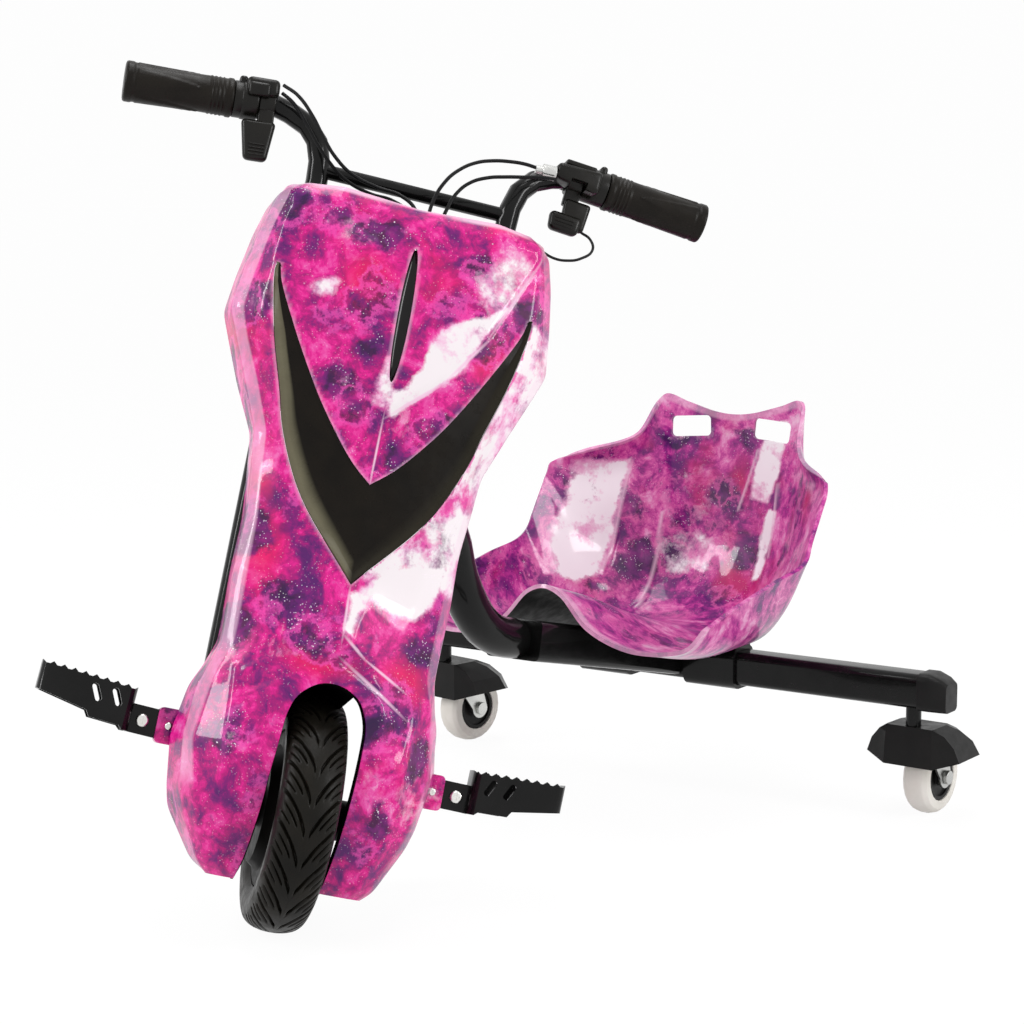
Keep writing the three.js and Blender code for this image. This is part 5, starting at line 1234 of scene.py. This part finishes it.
# Rows from the front edge to the top of the back; each place is a share of the half width, of the
# length and of the height, from the middle outwards
seat_rows = [
    [(0, 0, 0.34), (0.12, 0, 0.31), (0.3, 0, 0.18), (0.53, 0.01, 0.11), (0.77, 0.01, 0.11),
     (0.92, 0.02, 0.14), (0.98, 0.05, 0.21)],
    [(0, 0.21, 0.24), (0.13, 0.21, 0.21), (0.3, 0.21, 0.12), (0.53, 0.21, 0.05), (0.77, 0.21, 0.05),
     (0.92, 0.21, 0.11), (0.99, 0.21, 0.27)],
    [(0, 0.43, 0.11), (0.13, 0.43, 0.1), (0.3, 0.43, 0.06), (0.53, 0.43, 0.02), (0.75, 0.43, 0.04),
     (0.9, 0.41, 0.13), (1, 0.41, 0.33)],
    [(0, 0.62, 0.03), (0.13, 0.62, 0.03), (0.3, 0.62, 0.01), (0.52, 0.61, 0), (0.71, 0.585, 0.04),
     (0.87, 0.565, 0.16), (1, 0.58, 0.38)],
    [(0, 0.78, 0.02), (0.13, 0.78, 0.02), (0.3, 0.77, 0.02), (0.49, 0.72, 0.03), (0.65, 0.67, 0.08),
     (0.83, 0.63, 0.21), (0.99, 0.62, 0.46)],
    [(0, 0.88, 0.1), (0.13, 0.88, 0.1), (0.3, 0.86, 0.1), (0.47, 0.8, 0.1), (0.63, 0.72, 0.15),
     (0.82, 0.675, 0.3), (0.99, 0.65, 0.53)],
    [(0, 0.94, 0.25), (0.13, 0.94, 0.25), (0.3, 0.93, 0.26), (0.48, 0.87, 0.27), (0.65, 0.79, 0.3),
     (0.83, 0.71, 0.4), (0.99, 0.68, 0.6)],
    [(0, 0.97, 0.48), (0.13, 0.97, 0.48), (0.3, 0.96, 0.49), (0.48, 0.93, 0.5), (0.65, 0.84, 0.5),
     (0.84, 0.75, 0.53), (0.99, 0.7, 0.65)],
    [(0, 0.99, 0.71), (0.13, 0.99, 0.72), (0.3, 0.98, 0.73), (0.48, 0.96, 0.74), (0.63, 0.89, 0.69),
     (0.82, 0.79, 0.67), (0.98, 0.71, 0.69)],
    [(0, 1, 0.92), (0.14, 1, 0.93), (0.34, 1, 0.97), (0.49, 0.99, 1), (0.57, 0.905, 0.82),
     (0.78, 0.77, 0.75), (0.95, 0.73, 0.71)],
]


def seat_grid(rows, steps_along, steps_across):
    places = np.array([
        [(x * seat_half_width, seat_front + y * seat_length, seat_bottom + z * seat_height)
         for x, y, z in row]
        for row in rows
    ])
    full = np.concatenate([places[:, :0:-1] * (-1, 1, 1), places], axis=1)
    across = smooth_line(np.swapaxes(full, 0, 1), steps_across)
    return smooth_line(np.swapaxes(across, 0, 1), steps_along)


seat_shape = seat_grid(seat_rows, 18, 11)
seat_creases = [
    [(-0.104, 0.318), (-0.106, 0.205)], [(-0.072, 0.262), (-0.067, 0.169)],
    [(0.033, 0.333), (0.014, 0.270)], [(0.062, 0.300), (0.060, 0.225)],
]
seat_x = seat_shape[:, :, 0]
seat_z = seat_shape[:, :, 2]
on_back = ramped(seat_shape[:, :, 1] - 0.24, 0.04)
# Painted highlights lie along the pressed creases, the front edge and the top of the back
seat_press = np.zeros(seat_x.shape)
seat_edge_highlight = np.zeros(seat_x.shape)
for crease in seat_creases:
    crease_gap = line_gap(seat_x, seat_z, crease)
    seat_press += ridge(crease_gap, 0.0034, 0.0012)
    seat_edge_highlight = np.maximum(seat_edge_highlight, ramped(0.0024 - crease_gap, 0.002) * 0.7)
seat_shape = seat_shape + grid_normals(seat_shape) * (seat_press * on_back)[:, :, None]
seat_shell = grid_piece("seat_shell", seat_shape)
# In the tones, "edge" is the colour of the painted highlights along creases and edges
muted_tones = {
    "ink": (0.030, 0.004, 0.062), "violet": (0.100, 0.008, 0.130), "plum": (0.24, 0.016, 0.19),
    "magenta": (0.46, 0.034, 0.27), "pink": (0.66, 0.110, 0.38), "rose": (0.76, 0.32, 0.56),
    "mist": (0.78, 0.46, 0.62), "white": (0.89, 0.84, 0.87), "crimson": (0.52, 0.012, 0.12),
    "star": (0.95, 0.84, 0.93), "glow": (0.70, 0.12, 0.38), "edge": (0.80, 0.55, 0.68),
}
seat_film = film_look(
    "nebula_film_seat", (0, 0, 0), (0, 0, 0), muted_tones,
    [
        ((-0.125, 0.3, 0.3), (0.02, 0.3, 0.03), 0), ((-0.085, 0.38, 0.215), (0.022, 0.3, 0.03), 0),
        ((0, 0.42, 0.285), (0.026, 0.3, 0.026), 0), ((-0.062, 0.4, 0.345), (0.028, 0.3, 0.016), 0),
        ((0.02, 0.42, 0.34), (0.022, 0.3, 0.02), 0), ((0.03, 0.41, 0.225), (0.02, 0.3, 0.03), 0),
    ],
    [
        ((0.13, 0.33, 0.29), (0.02, 0.2, 0.03), 0), ((0.015, 0.43, 0.30), (0.02, 0.3, 0.03), 0),
    ],
    [],
)
seat_clouds = [
    # the pale panel beside the first crease
    (0.92, 0.014, [
        (-0.146, 0.321), (-0.104, 0.319), (-0.107, 0.26), (-0.105, 0.201), (-0.118, 0.194),
        (-0.137, 0.202), (-0.149, 0.235), (-0.153, 0.251), (-0.147, 0.274),
    ]),
    # the strip under the second hand slot, and its tail below
    (0.96, 0.010, [
        (0.033, 0.335), (0.048, 0.366), (0.07, 0.366), (0.063, 0.313), (0.051, 0.277),
        (0.025, 0.281),
    ]),
    (0.85, 0.011, [
        (0.05, 0.275), (0.064, 0.272), (0.061, 0.236), (0.056, 0.204), (0.043, 0.198),
        (0.043, 0.237),
    ]),
    # the mist on the middle of the back
    (0.50, 0.024, [
        (-0.07, 0.242), (-0.031, 0.252), (-0.005, 0.229), (-0.013, 0.204), (-0.053, 0.194),
        (-0.071, 0.214),
    ]),
]
seat_pale = np.zeros(seat_x.shape)
for share, soft, outline in seat_clouds:
    seat_pale = np.maximum(seat_pale, share * cloud_patch(seat_x, seat_z, outline, soft))
seat_pale = seat_pale * on_back
seat_edge_highlight = seat_edge_highlight * on_back
# painted highlight along the front edge and the top of the back
seat_edge_highlight[:3] = 0.45
seat_edge_highlight[-3:] = np.maximum(seat_edge_highlight[-3:], 0.35)
seat_tints = print_shares(seat_pale, seat_edge_highlight)
thicken(seat_shell, seat_wall, looks=(seat_film, black_back_skin))
# The film runs on round the outside of both bolsters; the underside between them is left black, as
# painted shade under the seat
columns = seat_shape.shape[1] - 1
sheet_faces = columns * (seat_shape.shape[0] - 1)
bolster_start = 33
for face in seat_shell.data.polygons[sheet_faces:2 * sheet_faces]:
    if abs((face.index % columns) + 0.5 - columns / 2) > bolster_start:
        face.material_index = 0
hand_slot_x = 0.04905
hand_slot_z = 0.355
hand_slot_half_width = 0.02299
hand_slot_half_height = 0.0110
hand_slot_corner = 0.005
for sign in (-1, 1):
    slot_turn = Matrix.Rotation(radians(3.8) * sign, 3, "Y")
    corners = []
    for corner_x, corner_z, start in ((1, 1, 0), (1, -1, pi / 2), (-1, -1, pi), (-1, 1, 1.5 * pi)):
        straight_x = corner_x * (hand_slot_half_width - hand_slot_corner)
        straight_z = corner_z * (hand_slot_half_height - hand_slot_corner)
        for turn in np.linspace(0, pi / 2, 7):
            place = slot_turn @ Vector((
                straight_x + hand_slot_corner * sin(start + turn), 0,
                straight_z + hand_slot_corner * cos(start + turn),
            ))
            corners.append((place.x + sign * hand_slot_x, place.z + hand_slot_z))
    cut_out(seat_shell, plug("seat_slot_cutter", corners, 0.2, 0.45))
tint(seat_shell, seat_shape.reshape(-1, 3), seat_tints)
settle(seat_shell)
smooth(seat_shell, 40)
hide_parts("seat")
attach(seat_shell, "chassis")

# Each caster is a free-swivelling zinc-plated yoke on a kingpin, under a moulded black hood. Its
# wheel is a soft cream polyurethane tread on a black nylon hub, turning on a plated bolt.
cream_look = moulded_look(
    "cream_tread", (0.74, 0.70, 0.64), (0.86, 0.83, 0.78), 0.34, 0.5, 800, 0.00005,
    specular_ior_level=0.3,
)
for side_name in ("L", "R"):
    dress("caster_yoke_" + side_name, zinc_look, 0.0004)
    dress("caster_bolt_" + side_name, zinc_look, 0.0005)
    dress("caster_hood_" + side_name, plastic_black, 0.0045, 20, 4)
    dress("caster_hub_" + side_name, plastic_black, 0.0006)
    dress("caster_tread_" + side_name, cream_look, 0.0008, 20)

# The trike stands on a plain pale studio floor that runs on as its own backdrop, under soft
# boxes at the left, the right and overhead.
bpy.ops.object.select_all(action="DESELECT")
bpy.ops.mesh.primitive_plane_add(size=60)
floor = bpy.context.object
floor.name = "studio_floor"
floor_look, floor_tree, floor_shader = new_material("studio_floor", roughness=0.8)
floor_shader.inputs["Base Color"].default_value = (0.9, 0.9, 0.9, 1)


def seen_ray(tree):
    """One for rays that show the backdrop itself, nought for those that carry its light."""
    rays = add_node(tree, "ShaderNodeLightPath").outputs
    seen = math_node(tree, "MAXIMUM", rays["Is Camera Ray"], rays["Is Glossy Ray"])
    return math_node(tree, "MAXIMUM", seen, rays["Is Transmission Ray"])


glow_share = math_node(floor_tree, "MULTIPLY", seen_ray(floor_tree), 0.92)
glow = add_node(floor_tree, "ShaderNodeEmission", {"Color": (1, 1, 1, 1), "Strength": 1.026})
layers = add_node(floor_tree, "ShaderNodeMixShader", {0: glow_share})
floor_tree.links.new(floor_shader.outputs[0], layers.inputs[1])
floor_tree.links.new(glow.outputs[0], layers.inputs[2])
floor_tree.links.new(layers.outputs[0], floor_tree.nodes["Material Output"].inputs["Surface"])
floor.data.materials.append(floor_look)
for lamp_name, lamp_place, lamp_size, lamp_power in (
    ("key_box", (-1.7, -2.4, 2.0), (0.5, 1.8), 50), ("fill_box", (2.7, 0.2, 1.3), (0.4, 1.6), 30),
    ("top_box", (0.2, 0.2, 3), (2.4, 0.7), 30),
):
    lamp = bpy.data.lights.new(lamp_name, "AREA")
    lamp.shape = "RECTANGLE"
    lamp.size, lamp.size_y = lamp_size
    lamp.energy = lamp_power
    box = bpy.data.objects.new(lamp_name, lamp)
    box.location = lamp_place
    towards = Vector((0, 0, 0.35)) - Vector(lamp_place)
    box.rotation_euler = towards.to_track_quat("-Z", "Y").to_euler()
    scene.collection.objects.link(box)
world = bpy.data.worlds.new("studio_world")
world.use_nodes = True
scene.world = world
sky_tree = world.node_tree
sky = sky_tree.nodes["Background"]
sky.inputs["Color"].default_value = (1, 1, 1, 1)
sky_tree.links.new(span(sky_tree, seen_ray(sky_tree), 0.0, 1.0, 0.5, 0.985), sky.inputs["Strength"])
scene.view_settings.view_transform = "Standard"
